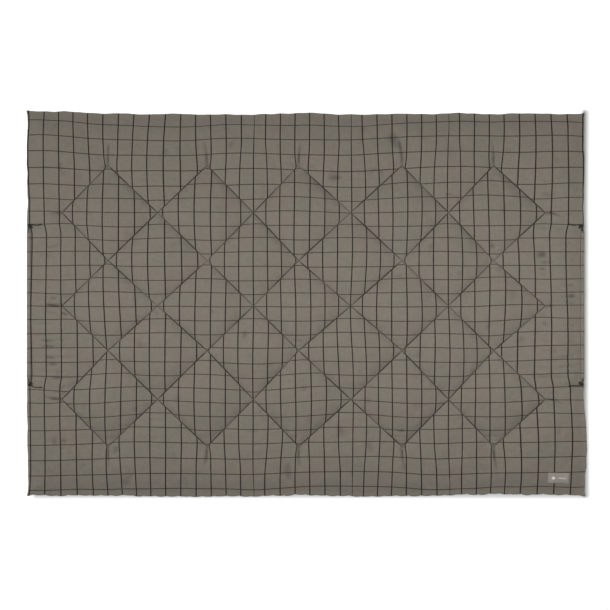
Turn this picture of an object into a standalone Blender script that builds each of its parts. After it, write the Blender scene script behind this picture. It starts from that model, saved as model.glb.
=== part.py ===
"""A quilted camp blanket with a drawcord along each short side.

The blanket lies flat: X runs along its long side, Y along its short side and Z points up. The
origin is on the ground under the middle. Face, filling and back are three layers. Stitch lines
cross them on the bias and leave rows of diamonds, with a plain border all round. A tunnel sewn
on each short side holds an elastic cord, which leaves it at both ends through a cord lock.
Run it with: blender --background --python part.py
"""

import math

import bmesh
import bpy
from mathutils import Matrix, Vector
from mathutils.bvhtree import BVHTree

MM = 0.001

# Overall size.
LENGTH = 2.000  # along X
WIDTH = 1.380  # along Y

# Layers, upwards from the ground.
CLEARANCE = 0.3 * MM  # between pieces that touch
CLOTH = 0.8 * MM
EDGE_HEIGHT = 4.5 * MM  # top of the face at the outer edge
SEAM_HEIGHT = 6.0 * MM  # top of the face along a stitch line
PUFF_HEIGHT = 36.0 * MM  # top of the face in the middle of a diamond
BORDER_HEIGHT = 20.0 * MM
EDGE_TAPER = 80.0 * MM  # the border falls to the edge over this width
SEAM_TAPER = 110.0 * MM  # and to the stitch lines over this one
EDGE_FLAT = 16.0 * MM  # flat strip all round, which carries the tunnels and the locks

# Quilting: the borders outside the outermost corners, and half diamonds that share out the rest.
QUILT_LEFT = 126.0 * MM
QUILT_RIGHT = 139.0 * MM
QUILT_TOP = 193.0 * MM
QUILT_BOTTOM = 178.4 * MM
HALF_CELLS_X = 10
HALF_CELLS_Y = 6
# How far each line of crossings strays from its even place, as sewn.
DRIFT_X = tuple(MM * drift for drift in (0, -8, -4, 0, -7, -18, -5, 6, -1, -12, 0))
DRIFT_Y = tuple(MM * drift for drift in (0, -1, -5, 0, 8, 1, 0))
CELL_STEPS = 4  # mesh steps in each half diamond, an even number
BORDER_STEPS = 3

THREAD = 0.8 * MM  # diameter of a stitch line
CROSSING_REACH = 4.0 * MM  # a line rises over another within this distance

# Cord tunnel.
CORD = 3.0 * MM
TUNNEL_WIDTH = 12.5 * MM
TUNNEL_ROOM = CORD + 3 * CLEARANCE  # inner height
TUNNEL_WALL = 0.7 * MM
TUNNEL_CORNER = 2.0 * MM
CORNER_STEPS = 4
TUNNEL_END_UP = 261.0 * MM  # from the middle of the blanket
TUNNEL_END_DOWN = 269.3 * MM
CORD_OFFSET = 2.2 * MM  # the cord runs this far outside the tunnel's middle
TACK = (8.0 * MM, 2.0 * MM, 0.8 * MM)

# Cord lock: a barrel across the cord, and a sprung button that slides in it.
BARREL = 11.0 * MM
BARREL_OUTER_END = 9.5 * MM  # from the cord hole to the closed end
BARREL_MOUTH = 4.0 * MM  # from the cord hole to the open end
BARREL_FLOOR = 1.0 * MM
BARREL_ROUNDING = 1.2 * MM
BUTTON = 7.4 * MM
BUTTON_HEAD = 3.6 * MM  # stands out of the barrel
BUTTON_INNER_END = 3.6 * MM
BUTTON_ROUNDING = 0.8 * MM
BUTTON_TRAVEL = 2.0 * MM
LOCK_TRAVEL = 3.0 * MM
LOCK_TURN = math.radians(35)
SPRING_WIRE = 0.45 * MM
SPRING = 5.2 * MM
SPRING_TURNS = 3.5
TURN_STEPS = 10
ROUND_SIDES = 20

# The cord's way from the tunnel's end up to the lock, in mm: towards the middle, outwards, up.
RISE = ((0.0, 0.0, 0.0), (0.4, 3.0, 0.8), (1.5, 6.0, 2.2), (3.2, 8.9, 3.0))
# The free tails from each lock, in mm: towards the middle, outwards along Y.
TAILS = {
    "right_top": ((2.2, 2.0), (5.8, 2.9), (12, 2.2), (20, 0.8), (28, 0.9), (34, 2.4)),
    "left_top": ((2.2, 2.0), (5.8, 2.9), (12, 1.8), (20, 0.2), (28, 1.0), (34, 2.6)),
    "right_bottom": ((2.2, 2.0), (5.8, 2.9), (12, 2.4), (20, 1.8), (28, 2.0), (34, 3.2)),
    "left_bottom": ((2.2, 2.6), (5.0, 5.2), (10, 8.2), (17, 9.6), (25, 9.4), (33, 9.0)),
}
SIDES = {"right": 1.0, "left": -1.0}
ENDS = {"top": 1.0, "bottom": -1.0}
KNOT = 6.4 * MM  # its length along the cord
KNOT_ROUND = 5.8 * MM  # and its diameter
STUB = 3.0 * MM  # cord left beyond the knot
KNOT_STEPS = 8  # mesh steps over half the ball
KNOT_SIDES = 10

# Woven label near the lower right corner.
LABEL = (76.0 * MM, 38.0 * MM)
LABEL_THICKNESS = 0.6 * MM
LABEL_FROM_RIGHT = 94.0 * MM  # from the edges to its middle
LABEL_FROM_BOTTOM = 66.0 * MM
LABEL_TURN = math.radians(-1.5)
LABEL_STEPS = (14, 7)
LABEL_LIFT = 0.9 * MM  # it bridges the small hollows of the face below it
LABEL_HEM = 2.5 * MM  # from its edge to its stitching
LABEL_THREAD = 0.5 * MM
STITCHING_STEPS = (12, 6)

FINISHES = {  # name: (colour, roughness, metallic)
    "checked_cloth": ((0.17, 0.155, 0.13), 0.85, 0.0),
    "batting": ((0.85, 0.85, 0.83), 0.95, 0.0),
    "lining": ((0.06, 0.058, 0.055), 0.8, 0.0),
    "thread": ((0.03, 0.028, 0.025), 0.7, 0.0),
    "elastic_cord": ((0.015, 0.015, 0.015), 0.75, 0.0),
    "black_plastic": ((0.03, 0.03, 0.03), 0.45, 0.0),
    "spring_steel": ((0.6, 0.6, 0.62), 0.3, 1.0),
    "woven_label": ((0.36, 0.32, 0.28), 0.6, 0.0),
}


def clear_scene():
    """Leaves the scene empty."""
    for item in list(bpy.data.objects):
        bpy.data.objects.remove(item, do_unlink=True)


def finish(name):
    """The material of this name, made when it is first asked for."""
    material = bpy.data.materials.get(name)
    if material is None:
        colour, roughness, metallic = FINISHES[name]
        material = bpy.data.materials.new(name)
        material.use_nodes = True
        shader = material.node_tree.nodes["Principled BSDF"]
        shader.inputs["Base Color"].default_value = (*colour, 1.0)
        shader.inputs["Roughness"].default_value = roughness
        shader.inputs["Metallic"].default_value = metallic
    return material


def place(name, data, material, parent=None):
    """A new object of this data, dressed and linked into the scene."""
    item = bpy.data.objects.new(name, data)
    item.data.materials.append(finish(material))
    bpy.context.scene.collection.objects.link(item)
    item.parent = parent
    return item


def mesh_of(name, shape):
    """The mesh that this bmesh holds, in triangles, with its faces turned outwards."""
    bmesh.ops.recalc_face_normals(shape, faces=shape.faces)
    bmesh.ops.triangulate(shape, faces=shape.faces)
    mesh = bpy.data.meshes.new(name)
    shape.to_mesh(mesh)
    shape.free()
    return mesh


# ---------------------------------------------------------------- the quilted layers


def column(i):
    """X of a line of crossings, counted in half diamonds from the left."""
    half_cell = (LENGTH - QUILT_LEFT - QUILT_RIGHT) / HALF_CELLS_X
    return -LENGTH / 2 + QUILT_LEFT + i * half_cell + DRIFT_X[i]


def row(j):
    """Y of a line of crossings, counted in half diamonds from the top."""
    half_cell = (WIDTH - QUILT_TOP - QUILT_BOTTOM) / HALF_CELLS_Y
    return WIDTH / 2 - QUILT_TOP - j * half_cell + DRIFT_Y[j]


def grid_lines(place_of, cells, first, last):
    """Mesh lines across the blanket: BORDER_STEPS in each border, CELL_STEPS in each half diamond."""
    marks = [place_of(i) for i in range(cells + 1)]
    spans = [(first, marks[0], BORDER_STEPS)]
    spans += [(marks[i], marks[i + 1], CELL_STEPS) for i in range(cells)]
    spans += [(marks[-1], last, BORDER_STEPS)]
    lines = [first]
    for start, end, steps in spans:
        lines += [start + (end - start) * k / steps for k in range(1, steps + 1)]
    return lines


def rounded(share):
    """A rise that starts steeply and ends level, from 0 to 1."""
    return 1.0 - (1.0 - min(max(share, 0.0), 1.0)) ** 2


def outline_of_quilting():
    """The corners of the zigzag that the outermost stitch lines make, in order."""
    top = [(i, 1 - i % 2) for i in range(HALF_CELLS_X + 1)]
    right = [(HALF_CELLS_X - (j + 1) % 2, j) for j in range(2, HALF_CELLS_Y)]
    bottom = [(i, HALF_CELLS_Y - 1 + i % 2) for i in range(HALF_CELLS_X, -1, -1)]
    left = [((j + 1) % 2, j) for j in range(HALF_CELLS_Y - 2, 0, -1)]
    found = []
    for i, j in top + right + bottom + left:
        if not found or found[-1] != (i, j):
            found.append((i, j))
    return [Vector((column(i), row(j), 0)) for i, j in found]


def distance_to_outline(point, corners):
    """How far a point lies from the closed line through these corners."""
    nearest = math.inf
    for k, start in enumerate(corners):
        along = corners[(k + 1) % len(corners)] - start
        if along.length < 1e-9:
            continue
        share = min(max((point - start).dot(along) / along.length_squared, 0.0), 1.0)
        nearest = min(nearest, (point - start - share * along).length)
    return nearest


def face_height(a, b, x, y, corners):
    """Height of the face at mesh line a across and b down, from which x and y come."""
    i = (a - BORDER_STEPS) / CELL_STEPS
    j = (b - BORDER_STEPS) / CELL_STEPS
    across, down = i + j, i - j
    middle_across = 2 * math.floor((across - 1) / 2) + 2
    middle_down = 2 * math.floor((down - 1) / 2) + 2
    cell_i = (middle_across + middle_down) / 2
    cell_j = (middle_across - middle_down) / 2
    if 1 <= cell_i <= HALF_CELLS_X - 1 and 1 <= cell_j <= HALF_CELLS_Y - 1:
        puff = (1 - (across - middle_across) ** 2) * (1 - (down - middle_down) ** 2)
        return SEAM_HEIGHT + (PUFF_HEIGHT - SEAM_HEIGHT) * puff
    from_edge = min(LENGTH / 2 - abs(x), WIDTH / 2 - abs(y)) - EDGE_FLAT
    edge = rounded(from_edge / EDGE_TAPER)
    seam = rounded(distance_to_outline(Vector((x, y, 0)), corners) / SEAM_TAPER)
    rise = (SEAM_HEIGHT - EDGE_HEIGHT) * edge + (BORDER_HEIGHT - SEAM_HEIGHT) * edge * seam
    return EDGE_HEIGHT + rise


def relief(shape, inset, drop):
    """The quilted surface as a net of diamonds, lowered and drawn in. Gives its outer edge, in order."""
    inner_x, inner_y = LENGTH / 2 - EDGE_FLAT, WIDTH / 2 - EDGE_FLAT
    xs = grid_lines(column, HALF_CELLS_X, -inner_x, inner_x)
    ys = grid_lines(row, HALF_CELLS_Y, inner_y, -inner_y)
    corners = outline_of_quilting()
    net = {}
    for a, x in enumerate(xs):
        for b, y in enumerate(ys):
            if (a + b) % 2 == 0:
                height = face_height(a, b, x, y, corners)
                net[a, b] = shape.verts.new((x, y, height - drop))
    for a in range(len(xs)):
        for b in range(len(ys)):
            around = [(a + 1, b), (a, b + 1), (a - 1, b), (a, b - 1)]
            ring = [net[at] for at in around if at in net]
            if (a + b) % 2 and len(ring) > 2:
                shape.faces.new(ring)
    last_a, last_b = len(xs) - 1, len(ys) - 1
    path = [(a, 0) for a in range(0, last_a, 2)]
    path += [(last_a, b) for b in range(0, last_b, 2)]
    path += [(a, last_b) for a in range(last_a, 0, -2)]
    path += [(0, b) for b in range(last_b, 0, -2)]
    grow_x = (LENGTH / 2 - inset) / inner_x
    grow_y = (WIDTH / 2 - inset) / inner_y
    rim = []
    for at in path:
        inner = net[at].co
        rim.append(shape.verts.new((inner.x * grow_x, inner.y * grow_y, inner.z)))
    for k, at in enumerate(path):
        after = (k + 1) % len(path)
        shape.faces.new((net[at], net[path[after]], rim[after], rim[k]))
    return rim


def ring_below(shape, rim, height):
    """A copy of a rim at this height, joined to it by a wall."""
    lower = [shape.verts.new((v.co.x, v.co.y, height)) for v in rim]
    for k in range(len(rim)):
        after = (k + 1) % len(rim)
        shape.faces.new((rim[k], rim[after], lower[after], lower[k]))
    return lower


def make_face_cloth():
    """The checked face: a shell that follows the puffs and turns down at the edge to the back."""
    shape = bmesh.new()
    hem = CLOTH + CLEARANCE
    outer = ring_below(shape, relief(shape, 0.0, 0.0), hem)
    inner = ring_below(shape, relief(shape, CLOTH, CLOTH), hem)
    for k in range(len(outer)):
        after = (k + 1) % len(outer)
        shape.faces.new((outer[k], outer[after], inner[after], inner[k]))
    return place("face_cloth", mesh_of("face_cloth", shape), "checked_cloth")


def make_fill_batting():
    """The filling, which lies on the back and fills the face."""
    shape = bmesh.new()
    hidden = CLOTH + CLEARANCE
    lower = ring_below(shape, relief(shape, hidden, hidden), hidden)
    shape.faces.new(lower)
    return place("fill_batting", mesh_of("fill_batting", shape), "batting")


def box_mesh(name, size, middle, turn=0.0):
    """A box of this size around its middle, turned about Z."""
    shape = bmesh.new()
    matrix = Matrix.Translation(middle) @ Matrix.Rotation(turn, 4, "Z") @ Matrix.Diagonal((*size, 1))
    bmesh.ops.create_cube(shape, size=1.0, matrix=matrix)
    return mesh_of(name, shape)


def make_back_cloth():
    """The lining that the blanket lies on."""
    mesh = box_mesh("back_cloth", (LENGTH, WIDTH, CLOTH), (0, 0, CLOTH / 2))
    return place("back_cloth", mesh, "lining")


# ---------------------------------------------------------------- cords and threads


def tube(name, points, diameter, material, resolution):
    """A round cord along these points, with closed ends."""
    curve = bpy.data.curves.new(name, "CURVE")
    curve.dimensions = "3D"
    curve.bevel_depth = diameter / 2
    curve.bevel_resolution = resolution
    curve.use_fill_caps = True
    line = curve.splines.new("POLY")
    line.points.add(len(points) - 1)
    for point, where in zip(line.points, points):
        point.co = (*where, 1.0)
    return place(name, curve, material)


def smooth_route(points, step):
    """Points about one step apart on a smooth curve through these points."""
    ends = [2 * points[0] - points[1], *points, 2 * points[-1] - points[-2]]
    route = [points[0]]
    for before, start, end, after in zip(ends, ends[1:], ends[2:], ends[3:]):
        parts = max(1, round((end - start).length / step))
        for k in range(1, parts + 1):
            t = k / parts
            curve = 2 * start + (end - before) * t
            curve += (2 * before - 5 * start + 4 * end - after) * t**2
            curve += (3 * start - before - 3 * end + after) * t**3
            route.append(curve / 2)
    return route


def stitch_lines():
    """Every stitch line as its name, the crossings that it runs through and which way it leans."""
    spots = [
        (i, j)
        for i in range(HALF_CELLS_X + 1)
        for j in range(HALF_CELLS_Y + 1)
        if (i + j) % 2
    ]
    found = []
    for lean, key in (("rising", lambda at: at[0] + at[1]), ("falling", lambda at: at[0] - at[1])):
        values = sorted({key(at) for at in spots})
        lines = [sorted(at for at in spots if key(at) == value) for value in values]
        found += [(f"quilting_{lean}_{n + 1}", line, lean) for n, line in enumerate(lines)]
    return found


def make_quilting_thread(name, line, lean):
    """One stitch line, in the valley between the puffs. A falling line rises over each rising one."""
    level = SEAM_HEIGHT + CLEARANCE + THREAD / 2
    spots = [Vector((column(i), row(j), level)) for i, j in line]
    start = (spots[1] - spots[0]).normalized()
    stop = (spots[-2] - spots[-1]).normalized()
    if lean == "rising":
        # It stops short of the falling line that meets it at the same corner.
        spots[0] += start * 2 * THREAD
        spots[-1] += stop * 2 * THREAD
        return tube(name, spots, THREAD, "thread", 0)
    over = Vector((0, 0, THREAD + CLEARANCE))
    points = [spots[0] + over, spots[0] + start * CROSSING_REACH]
    for before, spot, after in zip(spots, spots[1:], spots[2:]):
        points.append(spot + (before - spot).normalized() * CROSSING_REACH)
        points.append(spot + over)
        points.append(spot + (after - spot).normalized() * CROSSING_REACH)
    points += [spots[-1] + stop * CROSSING_REACH, spots[-1] + over]
    return tube(name, points, THREAD, "thread", 0)


def tunnel_profile(width, height, corner):
    """The tunnel's section as X and Z: flat below, with rounded corners above."""
    found = [(-width / 2, 0.0), (width / 2, 0.0)]
    for flank, start in ((1, 0.0), (-1, math.pi / 2)):
        for k in range(CORNER_STEPS + 1):
            angle = start + math.pi / 2 * k / CORNER_STEPS
            x = flank * (width / 2 - corner) + corner * math.cos(angle)
            found.append((x, height - corner + corner * math.sin(angle)))
    return found


def tunnel_middle():
    """How far the tunnel's middle lies from the blanket's, along X."""
    return LENGTH / 2 - TUNNEL_WIDTH / 2


def make_tunnel(side):
    """The cord tunnel on one short side: an open tube of the face's cloth."""
    floor = EDGE_HEIGHT + CLEARANCE
    outer = tunnel_profile(TUNNEL_WIDTH, TUNNEL_ROOM + 2 * TUNNEL_WALL, TUNNEL_CORNER + TUNNEL_WALL)
    inner = tunnel_profile(TUNNEL_WIDTH - 2 * TUNNEL_WALL, TUNNEL_ROOM, TUNNEL_CORNER)
    middle = SIDES[side] * tunnel_middle()
    shape = bmesh.new()
    rings = []
    for profile, lift in ((outer, 0.0), (inner, TUNNEL_WALL)):
        for y in (TUNNEL_END_UP, -TUNNEL_END_DOWN):
            rings.append([shape.verts.new((middle + x, y, floor + lift + z)) for x, z in profile])
    outer_up, outer_down, inner_up, inner_down = rings
    walls = ((outer_up, outer_down), (inner_up, inner_down))
    ends = ((outer_up, inner_up), (outer_down, inner_down))
    for one, other in walls + ends:
        for k in range(len(one)):
            after = (k + 1) % len(one)
            shape.faces.new((one[k], one[after], other[after], other[k]))
    name = f"drawcord_tunnel_{side}"
    return place(name, mesh_of(name, shape), "checked_cloth")


def tunnel_end(end):
    """Y of the tunnel's mouth at this end."""
    return TUNNEL_END_UP if end == "top" else -TUNNEL_END_DOWN


def make_tack(side, end):
    """A row of tight stitches across the tunnel's end."""
    top = EDGE_HEIGHT + 2 * TUNNEL_WALL + TUNNEL_ROOM + 2 * CLEARANCE
    y = tunnel_end(end) - ENDS[end] * 2 * TACK[1]
    name = f"tunnel_tack_{side}_{end}"
    middle = (SIDES[side] * tunnel_middle(), y, top + TACK[2] / 2)
    return place(name, box_mesh(name, TACK, middle), "thread")


def cord_height():
    """Height of the cord's middle inside the tunnel."""
    return EDGE_HEIGHT + CLEARANCE + TUNNEL_WALL + CLEARANCE + CORD / 2


def to_world(side, end, inward, outward, up):
    """A place near a tunnel's end, given in metres from where the cord leaves it."""
    x = tunnel_middle() + CORD_OFFSET - inward
    return Vector((SIDES[side] * x, tunnel_end(end) + ENDS[end] * outward, cord_height() + up))


def along_cord(side, end):
    """The way in which the cord runs through a lock, away from its tunnel."""
    return Vector((-SIDES[side] * math.sin(LOCK_TURN), ENDS[end] * math.cos(LOCK_TURN), 0))


def lock_middle(side, end):
    """Where the cord's line crosses the barrel's axis."""
    rise = to_world(side, end, *(MM * value for value in RISE[-1]))
    middle = rise + along_cord(side, end) * (LOCK_TRAVEL + BARREL / 2)
    middle.z = EDGE_HEIGHT + CLEARANCE + BARREL / 2
    return middle


def split_in_lock(side, end):
    """Inside the lock, at rest and pushed in: here the held cord ends and its tail starts."""
    return lock_middle(side, end) - along_cord(side, end) * LOCK_TRAVEL / 3


def half_drawcord(side, end):
    """The held cord's own points from inside the tunnel up to the lock."""
    level = lock_middle(side, end).z - cord_height()
    points = [to_world(side, end, 0, -4 * CORD, 0)]
    for inward, outward, up in RISE:
        points.append(to_world(side, end, inward * MM, outward * MM, level * up / RISE[-1][2]))
    points.append(split_in_lock(side, end) - along_cord(side, end) * CLEARANCE / 2)
    return points


def make_drawcord(side):
    """The elastic cord between its two locks, in one length through the tunnel."""
    upper = smooth_route(half_drawcord(side, "top"), CORD)
    lower = smooth_route(half_drawcord(side, "bottom"), CORD)
    return tube(f"drawcord_{side}", lower[::-1] + upper, CORD, "elastic_cord", 2)


def surface_of(item):
    """A tree that finds a point of this object's surface."""
    return BVHTree.FromPolygons(
        [tuple(v.co) for v in item.data.vertices],
        [tuple(p.vertices) for p in item.data.polygons],
    )


def height_on(tree, x, y):
    """Height of the surface at this place, seen from above."""
    return tree.ray_cast(Vector((x, y, 1.0)), Vector((0, 0, -1.0)))[0].z


def make_tail(side, end, face):
    """The cord's free end, which lies on the face. Gives its last point and its heading there."""
    corner = f"{side}_{end}"
    run = along_cord(side, end)
    mouth = lock_middle(side, end) + run * BARREL / 2
    points = [split_in_lock(side, end) + run * CLEARANCE / 2, mouth - run * CORD, mouth]
    for n, (inward, outward) in enumerate(TAILS[corner]):
        x = mouth.x - SIDES[side] * inward * MM
        y = mouth.y + ENDS[end] * outward * MM
        resting = height_on(face, x, y) + CORD / 2 + 2 * CLEARANCE
        if n < 2:
            resting = max(resting, mouth.z - (n + 1) * 2 * CLEARANCE)
        if n == len(TAILS[corner]) - 1:
            resting += (KNOT_ROUND - CORD) / 2
        points.append(Vector((x, y, resting)))
    route = smooth_route(points, 1.5 * CORD)
    tube(f"cord_tail_{corner}", route, CORD, "elastic_cord", 2)
    return route[-1], (route[-1] - route[-2]).normalized()


def make_knot(side, end, start, heading):
    """The stopper knot on a tail: a round ball of cord with a short stub behind it."""
    name = f"cord_knot_{side}_{end}"
    middle = start + heading * (KNOT / 2 + CLEARANCE)
    turn = heading.to_track_quat("X", "Z").to_matrix().to_4x4()
    profile = [(-KNOT / 2, 0.0)]
    for k in range(1, KNOT_STEPS - 1):
        angle = math.pi * k / KNOT_STEPS
        profile.append((-KNOT / 2 * math.cos(angle), KNOT_ROUND / 2 * math.sin(angle)))
    profile += [(KNOT / 2, CORD / 2), (KNOT / 2 + STUB, CORD / 2), (KNOT / 2 + STUB, 0.0)]
    shape = bmesh.new()
    verts = [shape.verts.new((x, r, 0)) for x, r in profile]
    edges = [shape.edges.new(pair) for pair in zip(verts, verts[1:])]
    bmesh.ops.spin(
        shape,
        geom=verts + edges,
        axis=(1, 0, 0),
        cent=(0, 0, 0),
        steps=KNOT_SIDES,
        angle=2 * math.pi,
    )
    bmesh.ops.remove_doubles(shape, verts=shape.verts, dist=MM / 100)
    bmesh.ops.transform(shape, matrix=Matrix.Translation(middle) @ turn, verts=shape.verts)
    return place(name, mesh_of(name, shape), "elastic_cord")


# ---------------------------------------------------------------- cord locks


def cylinder(name, diameter, start, end, rounding=0.0):
    """A round bar along X from start to end."""
    shape = bmesh.new()
    matrix = Matrix.Translation(((start + end) / 2, 0, 0)) @ Matrix.Rotation(math.pi / 2, 4, "Y")
    bmesh.ops.create_cone(
        shape,
        cap_ends=True,
        segments=ROUND_SIDES,
        radius1=diameter / 2,
        radius2=diameter / 2,
        depth=end - start,
        matrix=matrix,
    )
    if rounding:
        caps = [e for e in shape.edges if abs(e.verts[0].co.x - e.verts[1].co.x) < MM / 100]
        bmesh.ops.bevel(shape, geom=caps, offset=rounding, segments=2, affect="EDGES", profile=0.5)
    mesh = mesh_of(name, shape)
    mesh.shade_smooth()
    mesh.set_sharp_from_angle(angle=math.radians(40))
    return mesh


def slot_mesh(name, width, low, high, depth):
    """A cutter that runs along Y, with round ends at low and high along X."""
    shape = bmesh.new()
    ring = []
    for k in range(ROUND_SIDES):
        angle = 2 * math.pi * (k + 0.5) / ROUND_SIDES
        middle = high - width / 2 if math.cos(angle) > 0 else low + width / 2
        x = middle + width / 2 * math.cos(angle)
        ring.append(shape.verts.new((x, -depth / 2, width / 2 * math.sin(angle))))
    floor = shape.faces.new(ring)
    swept = bmesh.ops.extrude_face_region(shape, geom=[floor])["geom"]
    moved = [v for v in swept if isinstance(v, bmesh.types.BMVert)]
    bmesh.ops.translate(shape, vec=(0, depth, 0), verts=moved)
    return mesh_of(name, shape)


def cut(item, name, mesh):
    """Takes a hidden cutter of this mesh away from an object."""
    cutter = bpy.data.objects.new(name, mesh)
    bpy.context.scene.collection.objects.link(cutter)
    cutter.parent = item.parent
    cutter.hide_render = True
    cutter.display_type = "WIRE"
    boolean = item.modifiers.new(name, "BOOLEAN")
    boolean.object = cutter
    boolean.operation = "DIFFERENCE"


def make_lock(side, end):
    """One cord lock: barrel, sprung button and spring, on an empty at the cord hole."""
    corner = f"{side}_{end}"
    barrel_axis = Vector((SIDES[side] * math.cos(LOCK_TURN), ENDS[end] * math.sin(LOCK_TURN), 0))
    origin = bpy.data.objects.new(f"lock_{corner}", None)
    bpy.context.scene.collection.objects.link(origin)
    origin.location = lock_middle(side, end)
    origin.rotation_euler.z = math.atan2(barrel_axis.y, barrel_axis.x)

    hole = CORD + 2 * CLEARANCE
    mesh = cylinder("barrel", BARREL, -BARREL_MOUTH, BARREL_OUTER_END, BARREL_ROUNDING)
    barrel = place(f"lock_barrel_{corner}", mesh, "black_plastic", origin)
    bore = BUTTON + 2 * CLEARANCE
    inner_end = BARREL_OUTER_END - BARREL_FLOOR
    cut(barrel, f"bore_{corner}", cylinder("bore", bore, -2 * BARREL_MOUTH, inner_end))
    cut(barrel, f"cord_hole_{corner}", slot_mesh("hole", hole, -hole / 2, hole / 2, 2 * BARREL))

    head = -BARREL_MOUTH - BUTTON_HEAD
    mesh = cylinder("button", BUTTON, head, BUTTON_INNER_END, BUTTON_ROUNDING)
    button = place(f"lock_button_{corner}", mesh, "black_plastic", origin)
    slot = slot_mesh("slot", hole, -BUTTON_TRAVEL - hole / 2, hole / 2, 2 * BARREL)
    cut(button, f"cord_slot_{corner}", slot)

    start = BUTTON_INNER_END + CLEARANCE + SPRING_WIRE / 2
    stop = inner_end - CLEARANCE - SPRING_WIRE / 2
    radius = (SPRING - SPRING_WIRE) / 2
    steps = round(SPRING_TURNS * TURN_STEPS)
    points = []
    for k in range(steps + 1):
        angle = 2 * math.pi * SPRING_TURNS * k / steps
        x = start + (stop - start) * k / steps
        points.append(Vector((x, radius * math.cos(angle), radius * math.sin(angle))))
    spring = tube(f"lock_spring_{corner}", points, SPRING_WIRE, "spring_steel", 0)
    spring.parent = origin


# ---------------------------------------------------------------- label


def label_place(u, v):
    """A place on the label, from -1 to 1 across and up, as X and Y on the blanket."""
    x, y = u * LABEL[0] / 2, v * LABEL[1] / 2
    turned = Vector((x, y, 0))
    turned.rotate(Matrix.Rotation(LABEL_TURN, 3, "Z"))
    return LENGTH / 2 - LABEL_FROM_RIGHT + turned.x, -WIDTH / 2 + LABEL_FROM_BOTTOM + turned.y


def make_label(face):
    """The woven label, a thin patch that follows the face."""
    across, up = LABEL_STEPS
    shape = bmesh.new()
    layers = []
    for lift in (LABEL_LIFT, LABEL_LIFT + LABEL_THICKNESS):
        net = {}
        for a in range(across + 1):
            for b in range(up + 1):
                x, y = label_place(2 * a / across - 1, 2 * b / up - 1)
                net[a, b] = shape.verts.new((x, y, height_on(face, x, y) + lift))
        for a in range(across):
            for b in range(up):
                shape.faces.new((net[a, b], net[a + 1, b], net[a + 1, b + 1], net[a, b + 1]))
        layers.append(net)
    rim = [(a, 0) for a in range(across)] + [(across, b) for b in range(up)]
    rim += [(a, up) for a in range(across, 0, -1)] + [(0, b) for b in range(up, 0, -1)]
    low, high = layers
    for at, after in zip(rim, rim[1:] + rim[:1]):
        shape.faces.new((low[at], low[after], high[after], high[at]))
    return place("woven_label", mesh_of("woven_label", shape), "woven_label")


def make_label_stitching(label):
    """The stitches that hold the label, as one thin closed line just inside its edge."""
    across, up = STITCHING_STEPS
    reach_x = 1 - 2 * LABEL_HEM / LABEL[0]
    reach_y = 1 - 2 * LABEL_HEM / LABEL[1]
    loop = [(2 * k / across - 1, -1) for k in range(across)]
    loop += [(1, 2 * k / up - 1) for k in range(up)]
    loop += [(1 - 2 * k / across, 1) for k in range(across)]
    loop += [(-1, 1 - 2 * k / up) for k in range(up)]
    shape = bmesh.new()
    rings = []
    low, high = 2 * CLEARANCE, 2 * CLEARANCE + LABEL_THREAD
    section = ((-1, low), (-1, high), (1, high), (1, low))
    for u, v in loop:
        ring = []
        for flank, lift in section:
            wider = flank * LABEL_THREAD
            x, y = label_place(u * (reach_x + wider / LABEL[0]), v * (reach_y + wider / LABEL[1]))
            ring.append(shape.verts.new((x, y, height_on(label, x, y) + lift)))
        rings.append(ring)
    for one, other in zip(rings, rings[1:] + rings[:1]):
        for k in range(len(section)):
            after = (k + 1) % len(section)
            shape.faces.new((one[k], one[after], other[after], other[k]))
    return place("label_stitching", mesh_of("label_stitching", shape), "thread")


def main():
    clear_scene()
    face = surface_of(make_face_cloth())
    make_fill_batting()
    make_back_cloth()
    for name, line, lean in stitch_lines():
        make_quilting_thread(name, line, lean)
    for side in SIDES:
        make_tunnel(side)
        make_drawcord(side)
        for end in ENDS:
            make_tack(side, end)
            make_lock(side, end)
            make_knot(side, end, *make_tail(side, end, face))
    make_label_stitching(surface_of(make_label(face)))


main()
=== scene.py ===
"""The looks of a quilted camp blanket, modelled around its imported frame.

Metres, +Z up. The blanket lies flat, checked face up, with its long side along X. Its cloth is
laid out by a lattice of quilting seams, puffed by a cloth simulation, and then creased, puckered
and stitched. The fittings on the short sides are modelled at their own size.
"""

import logging
import math
from dataclasses import dataclass, field
from enum import Enum
from typing import Any, Callable, Sequence

import bmesh
import bpy
import numpy as np
from mathutils import Matrix, Vector
from mathutils.bvhtree import BVHTree


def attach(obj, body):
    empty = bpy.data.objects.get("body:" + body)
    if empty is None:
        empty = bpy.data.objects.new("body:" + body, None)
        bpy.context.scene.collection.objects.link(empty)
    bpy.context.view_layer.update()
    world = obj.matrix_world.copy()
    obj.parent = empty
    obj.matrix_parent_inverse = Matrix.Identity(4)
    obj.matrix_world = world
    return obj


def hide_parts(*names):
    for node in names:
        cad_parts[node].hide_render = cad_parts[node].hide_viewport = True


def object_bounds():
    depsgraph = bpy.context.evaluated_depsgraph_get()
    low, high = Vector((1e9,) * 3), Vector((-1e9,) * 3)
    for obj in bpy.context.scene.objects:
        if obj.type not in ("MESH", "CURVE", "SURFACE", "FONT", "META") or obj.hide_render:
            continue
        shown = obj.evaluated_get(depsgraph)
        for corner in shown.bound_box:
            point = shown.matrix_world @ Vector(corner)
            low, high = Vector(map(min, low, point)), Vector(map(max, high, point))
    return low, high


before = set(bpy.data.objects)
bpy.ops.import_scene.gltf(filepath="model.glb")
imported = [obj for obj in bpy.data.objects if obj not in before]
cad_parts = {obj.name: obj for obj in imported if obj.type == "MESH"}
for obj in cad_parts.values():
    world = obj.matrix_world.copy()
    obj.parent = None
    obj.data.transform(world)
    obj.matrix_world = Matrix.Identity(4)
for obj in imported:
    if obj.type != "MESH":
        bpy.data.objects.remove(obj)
CAD_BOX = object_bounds()

LOG = logging.getLogger("camp_blanket")
MM = 0.001
Array = np.ndarray


# ---------------------------------------------------------------- shader graph


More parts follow.
